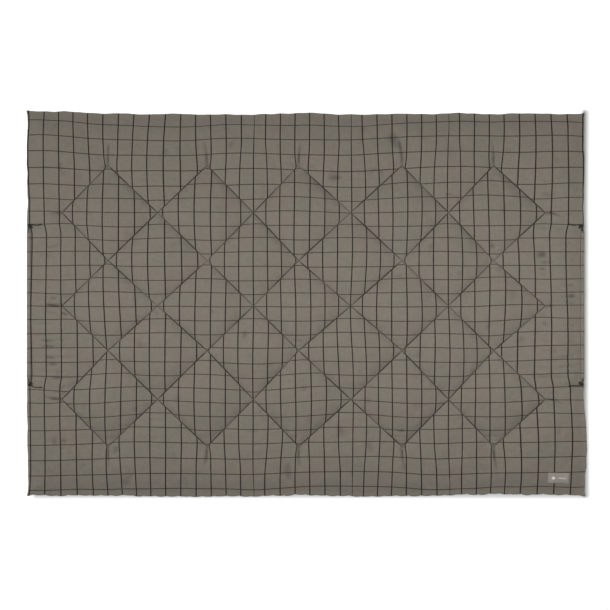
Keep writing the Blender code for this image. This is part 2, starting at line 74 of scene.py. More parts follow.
class Signal:
    """One output socket of a material, with Python's operators as its maths."""

    def __init__(self, graph: "Graph", socket: bpy.types.NodeSocket) -> None:
        """Wraps a socket.

        Args:
            graph: The graph that the socket belongs to.
            socket: The output socket.
        """
        self.graph = graph
        self.socket = socket

    def math(self, operation: str, *others: Any) -> "Signal":
        """A Math node on this value and others."""
        return self.graph.math(operation, self, *others)

    def __add__(self, other: Any) -> "Signal":
        """self + other."""
        return self.math("ADD", other)

    def __radd__(self, other: Any) -> "Signal":
        """other + self."""
        return self.graph.math("ADD", other, self)

    def __sub__(self, other: Any) -> "Signal":
        """self - other."""
        return self.math("SUBTRACT", other)

    def __rsub__(self, other: Any) -> "Signal":
        """other - self."""
        return self.graph.math("SUBTRACT", other, self)

    def __mul__(self, other: Any) -> "Signal":
        """self * other."""
        return self.math("MULTIPLY", other)

    def __rmul__(self, other: Any) -> "Signal":
        """other * self."""
        return self.graph.math("MULTIPLY", other, self)

    def __truediv__(self, other: Any) -> "Signal":
        """self / other."""
        return self.math("DIVIDE", other)

    def __abs__(self) -> "Signal":
        """The value without its sign."""
        return self.math("ABSOLUTE")


class Graph:
    """A material's nodes, written as expressions."""

    def __init__(self, name: str, **fixed: Any) -> None:
        """Makes a material with one Principled shader.

        Args:
            name: The material's name.
            **fixed: Uniform socket values, with spaces in socket names as underscores.
        """
        self.material = bpy.data.materials.new(name)
        self.material.use_nodes = True
        self.tree = self.material.node_tree
        self.shader = self.tree.nodes["Principled BSDF"]
        for socket, value in fixed.items():
            self.shader.inputs[socket.replace("_", " ")].default_value = value

    def node(
        self,
        kind: str,
        settings: dict[str, Any] | None = None,
        sockets: dict[Any, Any] | None = None,
        output: Any = 0,
    ) -> Signal:
        """Adds a node.

        Args:
            kind: The node's type.
            settings: Its properties; "stops" holds a ramp's positions and colours.
            sockets: Values or signals for its inputs, by name or number.
            output: The output that is wanted, by name or number.

        Returns:
            That output.
        """
        made = self.tree.nodes.new(kind)
        for key, value in (settings or {}).items():
            if key == "stops":
                ramp = made.color_ramp
                while len(ramp.elements) < len(value):
                    ramp.elements.new(1.0)
                for element, (position, colour) in zip(ramp.elements, value):
                    element.position = position
                    element.color = colour
            else:
                setattr(made, key, value)
        for key, value in (sockets or {}).items():
            if isinstance(value, Signal):
                self.tree.links.new(value.socket, made.inputs[key])
            else:
                made.inputs[key].default_value = value
        return Signal(self, made.outputs[output])

    def math(self, operation: str, *values: Any) -> Signal:
        """A Math node.

        Args:
            operation: What it does.
            *values: Its numbers or signals, in order.

        Returns:
            Its value.
        """
        return self.node("ShaderNodeMath", {"operation": operation}, dict(enumerate(values)))

    def attribute(self, name: str) -> Signal:
        """A vector that the mesh carries on its points."""
        return self.node("ShaderNodeAttribute", {"attribute_name": name}, output="Vector")

    def place(self) -> Signal:
        """Object coordinates."""
        return self.node("ShaderNodeTexCoord", output="Object")

    def parts(self, vector: Signal) -> tuple[Signal, Signal, Signal]:
        """The three numbers of a vector."""
        first = self.node("ShaderNodeSeparateXYZ", sockets={0: vector})
        return tuple(Signal(self, socket) for socket in first.socket.node.outputs)

    def vector(self, x: Any, y: Any, z: Any = 0.0) -> Signal:
        """A vector from three numbers."""
        return self.node("ShaderNodeCombineXYZ", sockets={0: x, 1: y, 2: z})

    def noise(self, where: Signal, scale: float, detail: float = 3.0, rough: float = 0.5) -> Signal:
        """A soft random value around one half."""
        sockets = {"Vector": where, "Scale": scale, "Detail": detail, "Roughness": rough}
        return self.node("ShaderNodeTexNoise", sockets=sockets)

    def ramp(self, value: Signal, low: float, high: float, start: float = 0.0, end: float = 1.0) -> Signal:
        """Carries a value from low..high to start..end, held at both ends.

        Args:
            value: The value.
            low: Where the change starts.
            high: Where it ends.
            start: The result at low.
            end: The result at high.

        Returns:
            The new value.
        """
        sockets = {"Value": value, "From Min": low, "From Max": high, "To Min": start, "To Max": end}
        return self.node("ShaderNodeMapRange", {"clamp": True}, sockets)

    def blend(self, amount: Any, first: Any, second: Any) -> Signal:
        """A colour between two colours.

        Args:
            amount: 0 for the first, 1 for the second.
            first: A colour or a signal.
            second: A colour or a signal.

        Returns:
            The colour.
        """
        return self.node("ShaderNodeMix", {"data_type": "RGBA"}, {0: amount, 6: first, 7: second}, 2)

    def bump(self, height: Signal, distance: float, strength: float = 1.0) -> None:
        """Sends a height to the shader's normal.

        Args:
            height: The height, 0 to 1.
            distance: What a height of 1 measures, in metres.
            strength: How much of it shows.
        """
        sockets = {"Height": height, "Distance": distance, "Strength": strength}
        self.feed("Normal", self.node("ShaderNodeBump", sockets=sockets))

    def feed(self, socket: str, value: Signal) -> None:
        """Links a signal to one of the shader's sockets."""
        self.tree.links.new(value.socket, self.shader.inputs[socket])


def tint(red: float, green: float, blue: float) -> tuple[float, float, float, float]:
    """An opaque linear colour."""
    return (red, green, blue, 1.0)


@dataclass(frozen=True)
class CheckedCloth:
    """Taupe plain weave with a black windowpane check that is woven in."""

    ground: tuple = tint(0.157, 0.140, 0.115)
    pink: tuple = tint(0.162, 0.139, 0.116)
    green: tuple = tint(0.152, 0.1405, 0.113)
    black: tuple = tint(0.008, 0.004, 0.002)
    pitch: tuple[float, float] = (0.055, 0.056)
    first: tuple[float, float] = (0.0036, 0.025)
    width: tuple[float, float] = (0.0043, 0.0031)
    seam_width: float = 0.0030

    def band(self, graph: Graph, along: Signal, axis: int) -> Signal:
        """One direction of the check.

        Args:
            graph: The material.
            along: The cloth's own coordinate, in metres.
            axis: 0 for the lines across X, 1 for those across Y.

        Returns:
            1 on a line, 0 beside it.
        """
        turns = along / self.pitch[axis] + (0.5 - self.first[axis] / self.pitch[axis])
        away = abs(turns.math("FRACT") - 0.5) * self.pitch[axis]
        half = self.width[axis] / 2
        return graph.ramp(away, half - 0.4 * MM, half + 0.4 * MM, 1.0, 0.0)

    def seam_thread_and_groove_shade(self, graph: Graph) -> Signal:
        """Painted shade in the groove of every quilting seam, together with the colour of the thread sunk
        in it: 1 in it, 0 beside it.
        """
        i, j, zone = graph.parts(graph.attribute("quilting"))
        uneven = graph.noise(graph.vector(i, j), 1.3, 1.0)
        lines, crossings = [], []
        for lean in (i + j, i - j):
            turns = (lean + 201.0) * 0.5
            away = abs((turns + 0.5).math("FRACT") - 0.5) * 0.2415
            lines.append(graph.ramp(away, self.seam_width / 4, self.seam_width, 1.0, 0.0))
            crossings.append(graph.ramp(away, 4 * MM, 18 * MM, 1.0, 0.0))
        line = lines[0].math("MAXIMUM", lines[1])
        crossing = crossings[0].math("MINIMUM", crossings[1])
        # The painted groove shade is uneven along each seam and weaker near the crossings.
        strong = graph.ramp(uneven, 0.36, 0.56, 0.45, 1.0)
        return line * zone * strong * (1.0 - crossing * 0.5)

    def make(self) -> bpy.types.Material:
        """The finished material."""
        graph = Graph("checked_cloth", Roughness=0.9, Sheen_Weight=0.12, Sheen_Roughness=0.5)
        graph.shader.inputs["Specular IOR Level"].default_value = 0.25
        # The fabric attribute holds the cloth's two coordinates and, as its third number, the painted
        # shade of folds and hollows.
        u, v, fold_shade = graph.parts(graph.attribute("fabric"))
        cloth = graph.vector(u, v)
        patches = graph.noise(cloth, 9.0, 2.0)
        other = graph.noise(graph.vector(u + 7.0, v + 3.0), 13.0, 2.0)
        colour = graph.blend(graph.ramp(patches, 0.42, 0.66), self.ground, self.pink)
        colour = graph.blend(graph.ramp(other, 0.46, 0.68), colour, self.green)
        # Uneven yarn: long along its own thread, thin across it.
        warp = graph.noise(graph.vector(u * 900.0, v * 22.0), 1.0, 2.0)
        weft = graph.noise(graph.vector(u * 22.0, v * 900.0), 1.0, 2.0)
        slub = graph.ramp((warp + weft) * 0.5, 0.3, 0.7, 0.90, 1.10)
        mottle = graph.ramp(graph.noise(cloth, 60.0, 4.0, 0.65), 0.25, 0.75, 0.93, 1.07)
        # Painted shade: the colour is darkened by up to 55% in folds and hollows, following the third
        # number of the fabric attribute; slub and mottle are the yarn's own uneven tone.
        yarn_tone_and_fold_shade = slub * mottle * (1.0 - fold_shade * 0.55)
        colour = graph.node(
            "ShaderNodeVectorMath", {"operation": "SCALE"}, {0: colour, "Scale": yarn_tone_and_fold_shade}
        )
        upright = self.band(graph, u, 0) * graph.ramp(weft, 0.2, 0.5, 0.86, 1.0)
        level = self.band(graph, v, 1) * graph.ramp(warp, 0.2, 0.6, 0.60, 0.92)
        check = upright.math("MAXIMUM", level)
        # The seam grooves take the check's black as painted groove shade with the thread in them.
        seam = self.seam_thread_and_groove_shade(graph)
        colour = graph.blend(check.math("MAXIMUM", seam), colour, self.black)
        graph.feed("Base Color", colour)
        over = (u * (math.tau / 0.0011)).math("SINE")
        under = (v * (math.tau / 0.0011)).math("SINE")
        weave = (over * under) * 0.25 + 0.5
        grain = graph.noise(cloth, 1400.0, 2.0)
        graph.bump(weave * 0.6 + grain * 0.4 + (warp + weft) * 0.5, 0.35 * MM, 0.5)
        return graph.material


@dataclass(frozen=True)
class Lining:
    """Dark plain weave."""

    deep: tuple = tint(0.034, 0.032, 0.030)
    pale: tuple = tint(0.052, 0.049, 0.045)

    def make(self) -> bpy.types.Material:
        """The finished material."""
        graph = Graph("lining", Roughness=0.8, Sheen_Weight=0.1, Sheen_Roughness=0.5)
        place = graph.place()
        x, y, _ = graph.parts(place)
        warp = graph.noise(graph.vector(x * 700.0, y * 18.0), 1.0, 2.0)
        weft = graph.noise(graph.vector(x * 18.0, y * 700.0), 1.0, 2.0)
        patches = graph.noise(place, 11.0, 3.0)
        graph.feed("Base Color", graph.blend((warp + weft + patches) / 3.0, self.deep, self.pale))
        weave = (x * (math.tau / 0.0009)).math("SINE") * (y * (math.tau / 0.0009)).math("SINE")
        graph.bump(weave * 0.25 + (warp + weft) * 0.5, 0.3 * MM, 0.5)
        return graph.material


@dataclass(frozen=True)
class Thread:
    """Twisted polyester sewing thread."""

    dark: tuple = tint(0.012, 0.010, 0.008)
    light: tuple = tint(0.035, 0.030, 0.026)

    def make(self) -> bpy.types.Material:
        """The finished material."""
        graph = Graph("thread", Roughness=0.6, Sheen_Weight=0.1)
        place = graph.place()
        x, y, z = graph.parts(place)
        ply = ((x + y + z * 2.0) * (math.tau / 0.0008)).math("SINE") * 0.5 + 0.5
        fuzz = graph.noise(place, 900.0, 3.0)
        graph.feed("Base Color", graph.blend(ply * 0.6 + fuzz * 0.4, self.dark, self.light))
        graph.bump(ply * 0.7 + fuzz * 0.3, 0.12 * MM)
        return graph.material


@dataclass(frozen=True)
class BraidedCord:
    """Black braid over an elastic core."""

    deep: tuple = tint(0.005, 0.005, 0.005)
    worn: tuple = tint(0.020, 0.019, 0.018)
    lay: float = 0.0042

    def make(self) -> bpy.types.Material:
        """The finished material."""
        graph = Graph("elastic_cord", Roughness=0.62, Sheen_Weight=0.05)
        graph.shader.inputs["Specular IOR Level"].default_value = 0.2
        across, aside, along = graph.parts(graph.attribute("braid"))
        angle = aside.math("ARCTAN2", across)
        one = (angle * 4.0 + along * (math.tau / self.lay)).math("SINE")
        two = (angle * 4.0 - along * (math.tau / self.lay)).math("SINE")
        strand = one.math("MAXIMUM", two) * 0.5 + 0.5
        fuzz = graph.noise(graph.place(), 1500.0, 3.0)
        graph.feed("Base Color", graph.blend(strand * 0.7 + fuzz * 0.3, self.deep, self.worn))
        graph.bump(strand, 0.25 * MM)
        return graph.material


@dataclass(frozen=True)
class MouldedPlastic:
    """Dark grey moulded plastic with a fine spark-eroded texture and worn edges."""

    body: tuple = tint(0.012, 0.0115, 0.011)
    rub: tuple = tint(0.040, 0.039, 0.038)

    def make(self) -> bpy.types.Material:
        """The finished material."""
        graph = Graph("black_plastic", Roughness=0.45)
        graph.shader.inputs["Specular IOR Level"].default_value = 0.25
        place = graph.place()
        texture = graph.noise(place, 2600.0, 2.0)
        smear = graph.noise(place, 240.0, 3.0)
        edge = graph.node("ShaderNodeNewGeometry", output="Pointiness")
        worn = graph.ramp(edge, 0.52, 0.60, 0.0, 0.7) * graph.ramp(smear, 0.35, 0.65)
        graph.feed("Base Color", graph.blend(worn, self.body, self.rub))
        graph.feed("Roughness", graph.ramp(smear, 0.3, 0.7, 0.38, 0.56))
        graph.bump(texture, 0.05 * MM)
        return graph.material


@dataclass(frozen=True)
class SpringWire:
    """Drawn spring steel."""

    steel: tuple = tint(0.50, 0.50, 0.52)
    oiled: tuple = tint(0.32, 0.30, 0.28)

    def make(self) -> bpy.types.Material:
        """The finished material."""
        graph = Graph("spring_steel", Metallic=1.0, Roughness=0.3)
        spots = graph.noise(graph.place(), 900.0, 3.0)
        graph.feed("Base Color", graph.blend(spots, self.steel, self.oiled))
        graph.feed("Roughness", graph.ramp(spots, 0.3, 0.7, 0.22, 0.42))
        return graph.material


@dataclass(frozen=True)
class SatinLabel:
    """Satin-woven ribbon with a plain border, a lozenge and a bar, and no mark or lettering."""

    ground: tuple = tint(0.252, 0.228, 0.196)
    dim: tuple = tint(0.215, 0.195, 0.168)
    bright: tuple = tint(0.56, 0.54, 0.50)

    def make(self) -> bpy.types.Material:
        """The finished material."""
        graph = Graph("woven_label", Roughness=0.5, Sheen_Weight=0.3, Anisotropic=0.4)
        u, v, _ = graph.parts(graph.attribute("ribbon"))
        floats = graph.noise(graph.vector(u * 60.0, v * 2600.0), 1.0, 2.0)
        cloud = graph.noise(graph.vector(u, v), 160.0, 2.0)
        frame_u = graph.ramp(abs(u), 0.0335, 0.0340)
        frame_v = graph.ramp(abs(v), 0.0148, 0.0153)
        border = frame_u.math("MAXIMUM", frame_v)
        tone = floats * 0.5 + cloud * 0.25 + border * 0.25
        lozenge = abs(u + 0.018) * (1 / 0.0085) + abs(v) * (1 / 0.0068)
        lozenge = graph.ramp(lozenge, 0.9, 1.0, 1.0, 0.0)
        bar = graph.ramp(abs(u - 0.013), 0.0130, 0.0136, 1.0, 0.0)
        bar = bar * graph.ramp(abs(v), 0.0024, 0.0030, 0.5, 0.0)
        colour = graph.blend(tone, self.ground, self.dim)
        graph.feed("Base Color", graph.blend(lozenge.math("MAXIMUM", bar), colour, self.bright))
        ribs = (v * (math.tau / 0.0006)).math("SINE") * 0.5 + 0.5
        graph.bump(ribs * 0.5 + floats * 0.5, 0.12 * MM)
        return graph.material


class Finish(Enum):
    """The finishes of the blanket, by the record's slot name."""

    CLOTH = "checked_cloth"
    LINING = "lining"
    THREAD = "thread"
    CORD = "elastic_cord"
    PLASTIC = "black_plastic"
    SPRING = "spring_steel"
    LABEL = "woven_label"


class Palette:
    """Makes each finish once."""

    MAKERS: dict[Finish, Callable[[], bpy.types.Material]] = {
        Finish.CLOTH: CheckedCloth().make,
        Finish.LINING: Lining().make,
        Finish.THREAD: Thread().make,
        Finish.CORD: BraidedCord().make,
        Finish.PLASTIC: MouldedPlastic().make,
        Finish.SPRING: SpringWire().make,
        Finish.LABEL: SatinLabel().make,
    }

    def __init__(self) -> None:
        """Starts with nothing made."""
        self.made: dict[Finish, bpy.types.Material] = {}

    def dress(self, piece: bpy.types.Object, finish: Finish, body: str, *nodes: str) -> None:
        """Gives a new piece its material and its body, and hides the nodes that it replaces.

        Args:
            piece: The piece.
            finish: Its finish, which is also the record's slot.
            body: The body that it moves with.
            *nodes: The nodes that it replaces.
        """
        self.paint(piece, finish)
        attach(piece, body)
        if nodes:
            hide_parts(*nodes)
        LOG.info("%s: %d faces, %s, on %s", piece.name, len(piece.data.polygons), finish.value, body)

    def paint(self, piece: bpy.types.Object, finish: Finish) -> None:
        """Puts a finish on a piece in place of what it had."""
        if finish not in self.made:
            self.made[finish] = self.MAKERS[finish]()
        piece.data.materials.clear()
        piece.data.materials.append(self.made[finish])


# ---------------------------------------------------------------- mesh helpers


def random_waves(x: Array, y: Array, seed: int, length: float, across: float | None = None) -> Array:
    """A smooth random field made of many plane waves.

    Args:
        x: Places along X.
        y: Places along Y.
        seed: Which field.
        length: Its wavelength along X.
        across: Its wavelength along Y, if that differs.

    Returns:
        Values of about -1 to 1.
    """
    dice = np.random.default_rng(seed)
    total = np.zeros_like(x)
    count = 24
    for _ in range(count):
        angle, phase, size = dice.uniform(0, math.tau), dice.uniform(0, math.tau), dice.uniform(0.7, 1.5)
        kx = math.cos(angle) * size * math.tau / length
        ky = math.sin(angle) * size * math.tau / (across or length)
        total += np.cos(kx * x + ky * y + phase)
    return total / math.sqrt(count)


def smooth(value: Array, low: float, high: float) -> Array:
    """A soft step from 0 at low to 1 at high."""
    share = np.clip((value - low) / (high - low), 0.0, 1.0)
    return share * share * (3.0 - 2.0 * share)


def new_piece(name: str, points: Sequence, faces: Sequence, soft: bool = True) -> bpy.types.Object:
    """An object with its mesh in place.

    Args:
        name: The object's name.
        points: Its points, in the frame.
        faces: Its faces.
        soft: Whether it is shaded smooth.

    Returns:
        The object.
    """
    mesh = bpy.data.meshes.new(name)
    mesh.from_pydata([tuple(p) for p in points], [], [tuple(f) for f in faces])
    mesh.validate()
    if soft:
        mesh.shade_smooth()
    piece = bpy.data.objects.new(name, mesh)
    bpy.context.scene.collection.objects.link(piece)
    return piece


def carry(mesh: bpy.types.Mesh, name: str, values: Array) -> None:
    """Stores a vector on each point of a mesh.

    Args:
        mesh: The mesh.
        name: The attribute's name.
        values: One row of two or three numbers for each point.
    """
    rows = np.zeros((len(mesh.vertices), 3), np.float32)
    rows[:, : values.shape[1]] = values
    layer = mesh.attributes.new(name, "FLOAT_VECTOR", "POINT")
    layer.data.foreach_set("vector", rows.ravel())


def places_of(mesh: bpy.types.Mesh) -> Array:
    """Every point of a mesh as a row of three numbers."""
    flat = np.empty(len(mesh.vertices) * 3, np.float32)
    mesh.vertices.foreach_get("co", flat)
    return flat.reshape(-1, 3).astype(np.float64)


def carried(mesh: bpy.types.Mesh, name: str) -> Array:
    """An attribute of a mesh as a row for each point."""
    flat = np.empty(len(mesh.vertices) * 3, np.float32)
    mesh.attributes[name].data.foreach_get("vector", flat)
    return flat.reshape(-1, 3).astype(np.float64)


def put(mesh: bpy.types.Mesh, places: Array) -> None:
    """Moves the points of a mesh to new places."""
    mesh.vertices.foreach_set("co", places.astype(np.float32).ravel())
    mesh.update()


def only(piece: bpy.types.Object) -> None:
    """Makes this the one selected, active object."""
    bpy.ops.object.select_all(action="DESELECT")
    piece.select_set(True)
    bpy.context.view_layer.objects.active = piece


def subdivided(piece: bpy.types.Object) -> None:
    """Applies one level of subdivision."""
    finer = piece.modifiers.new("finer", "SUBSURF")
    finer.levels = 1
    finer.render_levels = 1
    only(piece)
    bpy.ops.object.modifier_apply(modifier=finer.name)


class Surface:
    """Finds places on a piece from above or below."""

    def __init__(self, piece: bpy.types.Object) -> None:
        """Takes the piece as it is now."""
        self.tree = BVHTree.FromPolygons(
            [vert.co.copy() for vert in piece.data.vertices],
            [tuple(face.vertices) for face in piece.data.polygons],
        )

    def top(self, place: Vector) -> Vector:
        """The highest point over a place."""
        return self.tree.ray_cast(Vector((place.x, place.y, 1.0)), Vector((0, 0, -1)))[0]

    def bottom(self, place: Vector) -> Vector:
        """The lowest point under a place."""
        return self.tree.ray_cast(Vector((place.x, place.y, -1.0)), Vector((0, 0, 1)))[0]


class Stitches:
    """Collects short stitches into one piece."""

    SIDES = 6
    # Along the stitch, from -0.5 to 0.5: how deep it lies and how thick it is.
    SHAPE = ((-0.5, -0.75, 0.5), (-0.3, 0.25, 1.0), (0.3, 0.25, 1.0), (0.5, -0.75, 0.5))

    def __init__(self) -> None:
        """Starts with no stitches."""
        self.points: list[Vector] = []
        self.faces: list[tuple[int, ...]] = []

    def add(self, middle: Vector, run: Vector, up: Vector, length: float, thick: float) -> None:
        """Adds a stitch that lies on a surface with both ends in it.

        Args:
            middle: Its middle on the surface.
            run: The way in which it runs.
            up: Away from the surface.
            length: Its length.
            thick: The thread's diameter.
        """
        run = run.normalized()
        side = up.cross(run).normalized()
        first = len(self.points)
        for share, lift, grow in self.SHAPE:
            spot = middle + run * (share * length) + up * (lift * thick)
            for k in range(self.SIDES):
                angle = math.tau * k / self.SIDES
                ring = side * math.cos(angle) + up * math.sin(angle)
                self.points.append(spot + ring * (thick / 2 * grow))
        last = len(self.SHAPE) - 1
        for ring in range(last):
            low = first + ring * self.SIDES
            for k in range(self.SIDES):
                after = (k + 1) % self.SIDES
                self.faces.append(
                    (low + k, low + self.SIDES + k, low + self.SIDES + after, low + after)
                )
        self.faces.append(tuple(first + k for k in range(self.SIDES)))
        end = first + last * self.SIDES
        self.faces.append(tuple(end + k for k in reversed(range(self.SIDES))))

    def piece(self, name: str) -> bpy.types.Object:
        """All of them, as one object with its faces outwards."""
        made = new_piece(name, self.points, self.faces)
        outwards(made)
        return made


def outwards(piece: bpy.types.Object) -> None:
    """Turns every face of a closed piece outwards."""
    shape = bmesh.new()
    shape.from_mesh(piece.data)
    bmesh.ops.recalc_face_normals(shape, faces=shape.faces)
    shape.to_mesh(piece.data)
    shape.free()


def spline(points: Sequence[Vector], step: float) -> list[Vector]:
    """A smooth line through some points, with a point about every step."""
    ends = [points[0] * 2 - points[1], *points, points[-1] * 2 - points[-2]]
    found = []
    for a, b, c, d in zip(ends, ends[1:], ends[2:], ends[3:]):
        count = max(1, round((c - b).length / step))
        for k in range(count):
            t = k / count
            bent = (a * 2 - b * 5 + c * 4 - d) * t * t + (b * 3 - a - c * 3 + d) * t**3
            found.append((b * 2 + (c - a) * t + bent) * 0.5)
    found.append(points[-1].copy())
    return found


def swept(
    name: str, route: Sequence[Vector], radius: float, sides: int = 12, closed: bool = False
) -> bpy.types.Object:
    """A round cord along a line, which carries its braid's coordinates.

    Args:
        name: The piece's name.
        route: The line, with its points close together.
        radius: The cord's radius.
        sides: How many sides it has.
        closed: Whether the line runs back into its start.

    Returns:
        The piece, closed.
    """
    count = len(route)
    headings = []
    for n in range(count):
        before = route[n - 1] if n or closed else route[0]
        after = route[(n + 1) % count] if n < count - 1 or closed else route[-1]
        headings.append((after - before).normalized())
    normal = headings[0].orthogonal().normalized()
    normals = []
    for heading in headings:
        normal = (normal - heading * normal.dot(heading)).normalized()
        normals.append(normal)
    back = (normal - headings[0] * normal.dot(headings[0])).normalized()
    turn = math.atan2(headings[0].dot(back.cross(normals[0])), back.dot(normals[0]))
    points, braid, travelled = [], [], 0.0
    for n, spot in enumerate(route):
        travelled += (spot - route[n - 1]).length if n else 0.0
        twist = turn * n / count if closed else 0.0
        side = normals[n].copy()
        side.rotate(Matrix.Rotation(twist, 3, headings[n]))
        other = headings[n].cross(side)
        for k in range(sides):
            across, up = math.cos(math.tau * k / sides), math.sin(math.tau * k / sides)
            points.append(spot + (side * across + other * up) * radius)
            braid.append((across, up, travelled))
    faces = []
    for n in range(count if closed else count - 1):
        one, other = n * sides, (n + 1) % count * sides
        for k in range(sides):
            after = (k + 1) % sides
            faces.append((one + k, one + after, other + after, other + k))
    if not closed:
        for n, way in ((0, -1), (count - 1, 1)):
            pole = len(points)
            points.append(route[n] + headings[n] * (way * radius * 0.3))
            braid.append((1.0, 0.0, travelled * (n > 0)))
            ring = [n * sides + k for k in range(sides)]
            faces += [(a, b, pole) for a, b in zip(ring, ring[1:] + ring[:1])]
    piece = new_piece(name, points, faces)
    carry(piece.data, "braid", np.array(braid))
    outwards(piece)
    return piece


def joined(pieces: Sequence[bpy.types.Object]) -> bpy.types.Object:
    """Joins pieces into the first one."""
    only(pieces[0])
    for piece in pieces[1:]:
        piece.select_set(True)
    bpy.ops.object.join()
    return pieces[0]


def bar(radius: float, start: float, stop: float, rounding: float = 0.0) -> bpy.types.Object:
    """A round bar along X with rounded ends.

    Args:
        radius: Its radius.
        start: X of one end.
        stop: X of the other end.
        rounding: Radius of its rims.

    Returns:
        The bar.
    """
    bpy.ops.object.select_all(action="DESELECT")
    bpy.ops.mesh.primitive_cylinder_add(
        vertices=40,
        radius=radius,
        depth=stop - start,
        location=((start + stop) / 2, 0, 0),
        rotation=(0, math.pi / 2, 0),
    )
    piece = bpy.context.active_object
    bpy.ops.object.transform_apply(location=True, rotation=True, scale=True)
    if rounding:
        bevel = piece.modifiers.new("rounding", "BEVEL")
        bevel.width = rounding
        bevel.segments = 4
        bevel.limit_method = "ANGLE"
        bevel.angle_limit = math.radians(60)
        bpy.ops.object.modifier_apply(modifier=bevel.name)
    return piece


def carve(piece: bpy.types.Object, cutter: bpy.types.Object) -> None:
    """Cuts one piece out of another and throws the cutter away."""
    cut = piece.modifiers.new("cut", "BOOLEAN")
    cut.object = cutter
    cut.operation = "DIFFERENCE"
    only(piece)
    bpy.ops.object.modifier_apply(modifier=cut.name)
    bpy.data.objects.remove(cutter, do_unlink=True)


# ---------------------------------------------------------------- layout


@dataclass(frozen=True)
class Puff:
    """The diamonds of a set of places: their middles, how high each place stands, and if it is whole."""

    i: Array
    j: Array
    dome: Array
    whole: Array


@dataclass(frozen=True)
class Lattice:
    """Where the quilting runs: columns and rows of crossings, counted in half diamonds."""

    half_length: float
    half_width: float
    left: float = 126.0 * MM
    right: float = 139.0 * MM
    top: float = 193.0 * MM
    bottom: float = 178.4 * MM
    columns: int = 10
    rows: int = 6
    drift_x: tuple = (0, -8, -4, 0, -7, -18, -5, 6, -1, -12, 0)
    drift_y: tuple = (0, -1, -5, 0, 8, 1, 0)
    seam_spacing: float = 241.5 * MM

    def xs(self) -> Array:
        """X of the left edge, each column and the right edge."""
        start, stop = -self.half_length + self.left, self.half_length - self.right
        even = np.linspace(start, stop, self.columns + 1) + np.array(self.drift_x) * MM
        return np.array([-self.half_length, *even, self.half_length])

    def ys(self) -> Array:
        """Y of the top edge, each row and the bottom edge."""
        start, stop = self.half_width - self.top, -self.half_width + self.bottom
        even = np.linspace(start, stop, self.rows + 1) + np.array(self.drift_y) * MM
        return np.array([self.half_width, *even, -self.half_width])

    def x(self, i: Array) -> Array:
        """X at a column count, which may be a fraction; the left border is from -1 to 0."""
        return np.interp(i, np.arange(-1, self.columns + 2), self.xs())

    def y(self, j: Array) -> Array:
        """Y at a row count, which may be a fraction; the top border is from -1 to 0."""
        return np.interp(j, np.arange(-1, self.rows + 2), self.ys())

    def seam_distance(self, i: Array, j: Array) -> Array:
        """How far a place is from the nearest seam, in metres, as the lattice runs on for ever."""
        found = np.full(np.shape(i), np.inf)
        for lean in (i + j, i - j):
            turns = (lean - 1) / 2
            found = np.minimum(found, np.abs(turns - np.round(turns)) * self.seam_spacing)
        return found

    def puff(self, i: Array, j: Array) -> "Puff":
        """The diamond that each place is in.

        Args:
            i: Column counts.
            j: Row counts.

        Returns:
            The middle of each place's diamond, and a dome that is 1 there and 0 along its seams;
            the dome is 0 all over the border.
        """
        across, down = i + j, i - j
        middle_across = 2 * np.floor((across - 1) / 2) + 2
        middle_down = 2 * np.floor((down - 1) / 2) + 2
        cell_i = (middle_across + middle_down) / 2
        cell_j = (middle_across - middle_down) / 2
        whole = (cell_i > 0.5) & (cell_i < self.columns - 0.5)
        whole &= (cell_j > 0.5) & (cell_j < self.rows - 0.5)
        dome = (1 - (across - middle_across) ** 2) * (1 - (down - middle_down) ** 2)
        return Puff(cell_i, cell_j, np.where(whole, np.clip(dome, 0, 1), 0.0), whole)

    def quilted(self, i: Array, j: Array) -> Array:
        """True where a place is inside the rectangle that holds the seams."""
        edge = 1e-6
        along = (i > -edge) & (i < self.columns + edge)
        return along & (j > -edge) & (j < self.rows + edge)

    def lines(self) -> list[tuple[str, list[tuple[int, int]]]]:
        """Each stitch line's name and the crossings that it runs through."""
        spots = [
            (i, j)
            for i in range(self.columns + 1)
            for j in range(self.rows + 1)
            if (i + j) % 2
        ]
        found = []
        for lean, sign in (("rising", 1), ("falling", -1)):
            values = sorted({i + sign * j for i, j in spots})
            for n, value in enumerate(values):
                line = sorted(spot for spot in spots if spot[0] + sign * spot[1] == value)
                found.append((f"quilting_{lean}_{n + 1}", line))
        return found


